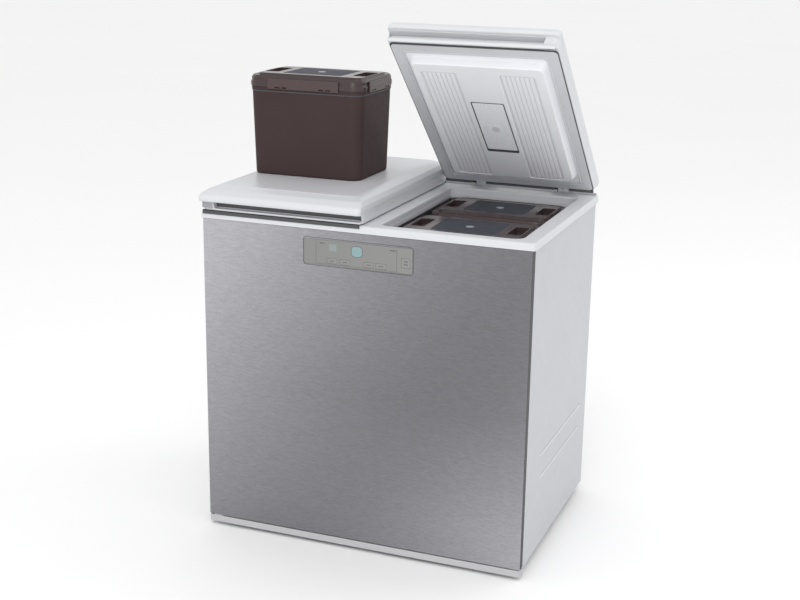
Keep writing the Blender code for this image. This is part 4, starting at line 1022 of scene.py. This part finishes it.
# ---------------------------------------------------------------- containers
def centred(z, size, radius, arc=10):
    return loop("Z", z, about(0, size[0] / 2), about(0, size[1] / 2), radius, arc)


def smaller(size, inset):
    return (size[0] - 2 * inset, size[1] - 2 * inset)


def bin_rows(*rows, reach=0.002, steps=4):
    """Loops from (z, width, length, corner radius) rows, eased between them."""
    return [centred(z, (a, b), radius) for z, a, b, radius in eased(rows, reach, steps)]


def bin_body():
    """Drafted tub with a rolled foot, soft corners and a rim that stands out a little."""
    wall = BIN_WALL
    rim = BIN_RIM_HEIGHT
    inner = smaller(BIN_MOUTH, wall)
    inner_base = smaller(BIN_BASE, wall)
    inside = bin_rows(
        (wall, *smaller(BIN_BASE, 0.020), 0.014), (wall, *smaller(inner_base, 0.001), 0.024),
        (rim, *inner, 0.027), reach=0.010)
    outside = bin_rows(
        (rim, *BIN_RIM, 0.032), (rim - 0.0085, *BIN_RIM, 0.032),
        (rim - 0.0085, *smaller(BIN_MOUTH, -0.0004), 0.029), reach=0.0012)
    walls = bin_rows(
        (rim - 0.010, *BIN_MOUTH, 0.029), (0.0, *smaller(BIN_BASE, 0.0015), 0.026),
        (0.0, *smaller(BIN_BASE, 0.016), 0.016), reach=0.0085, steps=6)
    return skin(*inside, *outside, *walls)


def bin_lid():
    """Lid with a broad rolled edge, a raised middle and a finger pocket at each end."""
    low, wall, raised, top = BIN_RIM_HEIGHT + GAP, 0.0025, BIN_PLATEAU, BIN_LID_TOP
    plug = smaller(BIN_MOUTH, BIN_WALL + 0.0008)
    inside = smaller(plug, wall)
    under = [
        centred(top - 0.0035 - wall, smaller(inside, 0.004), 0.022), centred(low - 0.006, inside, 0.024),
        centred(low - 0.006, plug, 0.026), centred(low, plug, 0.026),
        centred(low, smaller(BIN_LID, 0.0012), 0.033),
    ]
    outside = bin_rows(
        (low, *smaller(BIN_LID, 0.0008), 0.033), (low + 0.0100, *BIN_LID, 0.034),
        (low + 0.0135, *smaller(BIN_LID, 0.0022), 0.033), (top - 0.0060, *smaller(BIN_LID, 0.0022), 0.033),
        (top, *smaller(BIN_LID, 0.0060), 0.031), (top - 0.0028, *smaller(BIN_LID, 0.0150), 0.026),
        (top - 0.0030, raised[0] - 0.006, raised[1] + 0.010, 0.018),
        (BIN_HEIGHT, raised[0] - 0.010, raised[1], 0.014),
        (BIN_HEIGHT, raised[0] - 0.030, raised[1] - 0.016, 0.010),
        reach=0.0018, steps=4)
    lid = skin(*under, *outside)
    depth = BIN_HEIGHT - 0.016
    floors, dips = [], []
    for side in (-1, 1):
        half_x, half_y = FINGER
        floors.append(block(about(side * FINGER_AT, half_x + wall), about(0, half_y + wall),
                            (depth - wall, BIN_HEIGHT - 0.004), 0.008, 4))
        loops = []
        rows = [(depth, 0.0030), (depth, 0.0), (BIN_HEIGHT, 0.0), (BIN_HEIGHT + 0.004, -0.003)]
        for z, inset in eased(rows[:3], 0.0022, 3) + rows[3:]:
            x, y = about(side * FINGER_AT, half_x - inset), about(0, half_y - inset)
            loops.append(loop("Z", z, x, y, 0.0065, 5))
        dips.append(skin(*loops))
    recess = [centred(BIN_HEIGHT + above, smaller(INSERT, -0.0006), 0.010, 5) for above in (-0.0008, 0.01)]
    lid = boolean(lid, merge(*floors), "UNION")
    return boolean(lid, merge(*dips, skin(*recess)))


def bin_insert():
    """Glossy panel let into the lid's middle."""
    top = BIN_HEIGHT - 0.0001
    rows = eased([(top - 0.0006, 0.0), (top, 0.0), (top, 0.004)], 0.0003, 3)
    return skin(*[centred(z, smaller(INSERT, inset), 0.0095, 5) for z, inset in rows])


def bin_vent():
    """Small round vent plug in the middle of the panel."""
    top = BIN_HEIGHT - 0.0001
    rows = [(top - 0.0004, 0.0100), (top + 0.0004, 0.0096), (top + 0.0002, 0.0060), (top + 0.0002, 0.001)]
    return turned("Z", (0, 0), eased(rows, 0.0004, 3))


def rim_shadow():
    """Thin ring under the body's rim."""
    high, low = BIN_RIM_HEIGHT - 0.0088, BIN_RIM_HEIGHT - 0.0118
    rows = ((high, 0.0006, 0.028), (high, -0.0008, 0.029), (low, -0.0005, 0.029), (low, 0.0006, 0.028))
    return skin(*[centred(z, smaller(BIN_MOUTH, inset), radius) for z, inset, radius in rows], closed=True)


def finger_frames():
    """Raised edge round each finger pocket."""
    low, high = BIN_HEIGHT - 0.0004, BIN_HEIGHT + 0.0004
    rows = ((low, 0.0030), (high, 0.0026), (high, 0.0016), (low, 0.0012))
    frames = []
    for side in (-1, 1):
        loops = []
        for z, out in rows:
            x, y = about(side * FINGER_AT, FINGER[0] + out), about(0, FINGER[1] + out)
            loops.append(loop("Z", z, x, y, 0.0065 + out, 5))
        frames.append(skin(*loops, closed=True))
    return merge(*frames)


def bin_clip(direction):
    """Locking flap with a rolled top and two pairs of slots at its lower edge."""
    on_long_side = direction[0] == 0
    sign = sum(direction)
    half = CLIP_LENGTHS[0 if on_long_side else 1] / 2
    offset = BIN_LID[1 if on_long_side else 0] / 2 + 0.0005
    top = BIN_LID_TOP - 0.006
    rows = [(0.0, -CLIP_HEIGHT), (0.0, 0.0), (CLIP_THICKNESS - 0.0006, 0.0), (CLIP_THICKNESS, -0.0060),
            (CLIP_THICKNESS - 0.0007, -0.0110), (CLIP_THICKNESS, -0.0150), (CLIP_THICKNESS, -CLIP_HEIGHT)]
    profile = rows[:1] + eased(rows[1:], 0.0012, 3)

    def point(along, away, z):
        away = sign * (offset + away)
        return Vector((along, away, top + z)) if on_long_side else Vector((away, along, top + z))

    mesh = skin(*[[point(end, away, z) for away, z in profile] for end in (-half, half)])
    tools = []
    for share in (-0.72, -0.52, 0.52, 0.72):
        a, b = about(share * half, 0.07 * half), (offset - 0.01, offset + 0.02)
        pair, long = (a, (sign * b[0], sign * b[1])) if on_long_side else ((sign * b[0], sign * b[1]), a)
        level = top - CLIP_HEIGHT
        tools.append(block(pair, long, (level + 0.0022, level + 0.0052)))
    return boolean(mesh, merge(*tools))


CLIPS = {"front": (0, -1), "rear": (0, 1), "left": (-1, 0), "right": (1, 0)}


def storage_bin(name):
    """One container with its lid, insert, vent and clips, where its CAD body stands."""
    low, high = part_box(name + "_body")
    place = Matrix.Translation(((low.x + high.x) / 2, (low.y + high.y) / 2, low.z))
    stand_in(name + "_body", moved(bin_body(), place), angle=35)
    stand_in(name + "_lid", moved(bin_lid(), place), 0.0004, "lid_brown", 35)
    piece(name + "_rim_shadow", moved(rim_shadow(), place), "dark_gap", BODY_OF[name + "_body"])
    lid_body = BODY_OF[name + "_lid"]
    piece(name + "_insert", moved(bin_insert(), place), "insert_navy", lid_body, angle=30)
    piece(name + "_vent", moved(bin_vent(), place), "vent_grey", lid_body, angle=30)
    piece(name + "_finger_frames", moved(finger_frames(), place), "clip_brown", lid_body)
    for label, direction in CLIPS.items():
        node = f"{name}_{label}_clip"
        mesh = moved(bin_clip(direction), place)
        if node in frame["nodes"]:
            stand_in(node, mesh, 0.0004)
        else:
            piece(node, mesh, "clip_brown", lid_body, 0.0004)


# ---------------------------------------------------------------- nodes kept as they are
EDGES = {"base_plate": 0.0006, "compressor": 0.0015, "fan_motor": 0.0010, "condenser_fan": 0.0004,
         "control_board": 0.0002, "left_front_foot": 0.0006, "right_front_foot": 0.0006,
         "left_rear_roller": 0.0004, "right_rear_roller": 0.0004}


def dress_cad():
    """A procedural finish on every CAD node, and smooth shading on those that stay in view, with rounded edges on
    the hinge nodes and those listed in EDGES.
    """
    for name, node in frame["nodes"].items():
        node.data.materials.clear()
        node.data.materials.append(finish(SLOT_OF[name]))
        if node.hide_render:
            continue
        width = 0.0004 if "hinge" in name else EDGES.get(name, 0.0)
        soften(node, width, 30.0, 2)


# ---------------------------------------------------------------- stage
def studio():
    """Pale floor, white world and soft boxes."""
    span = (about(0, FLOOR_SPAN), about(FLOOR_MIDDLE, FLOOR_SPAN))
    floor = skin(loop("Z", -0.02, *span), loop("Z", 0.0, *span))
    data = bpy.data.meshes.new("floor")
    floor.to_mesh(data)
    floor.free()
    item = bpy.data.objects.new("floor", data)
    made, tree, shader, place = principled("floor", (0.93, 0.93, 0.93), 0.75)
    shade = blend(tree, noise(tree, place, 0.6), (0.92, 0.92, 0.92), (0.95, 0.95, 0.95))
    tree.links.new(shade, shader.inputs["Base Color"])
    data.materials.append(made)
    bpy.context.scene.collection.objects.link(item)

    world = bpy.data.worlds.new("studio")
    world.use_nodes = True
    sky = world.node_tree.nodes["Background"]
    sky.inputs["Color"].default_value = (1.0, 1.0, 1.0, 1.0)
    sky.inputs["Strength"].default_value = SKY
    bpy.context.scene.world = world

    for name, values in LIGHTS.items():
        soft_box(name, *values)


def soft_box(name, location, target, size, power):
    data = bpy.data.lights.new(name, "AREA")
    data.shape = "SQUARE"
    data.size = size
    data.energy = power
    item = bpy.data.objects.new(name, data)
    item.location = location
    aim = Vector(target) - Vector(location)
    item.rotation_mode = "QUATERNION"
    item.rotation_quaternion = aim.to_track_quat("-Z", "Y")
    bpy.context.scene.collection.objects.link(item)


def camera():
    data = bpy.data.cameras.new("camera")
    data.lens = LENS
    data.sensor_width = SENSOR
    data.clip_end = 200.0
    item = bpy.data.objects.new("camera", data)
    level = math.cos(ELEVATION)
    ahead = Vector((math.sin(AZIMUTH) * level, math.cos(AZIMUTH) * level, -math.sin(ELEVATION)))
    item.rotation_mode = "QUATERNION"
    item.rotation_quaternion = ahead.to_track_quat("-Z", "Y") @ Matrix.Rotation(ROLL, 4, "Z").to_quaternion()
    item.location = CAMERA_AT
    bpy.context.scene.collection.objects.link(item)
    bpy.context.scene.camera = item


# ---------------------------------------------------------------- assembly
def build():
    outer_case()
    front_panel()
    top_frame()
    tub("left_tub", -1)
    tub("right_tub", 1)
    collar("left_collar", -1)
    collar("right_collar", 1)
    base_trim()
    machine_room_cover()
    control_panel()
    for side in (-1, 1):
        lid = Lid(side)
        lid_cover(lid)
        lid_liner(lid)
        lid_gasket(lid)
        deodoriser_cover(lid)
        catch_plate(lid)
        hinge_fixings(lid)
    for name in ("lid_container", "upper_front_container", "upper_rear_container",
                 "lower_front_container", "lower_rear_container"):
        storage_bin(name)
    dress_cad()
    studio()
    camera()
    bpy.context.scene.view_settings.view_transform = "Standard"


build()
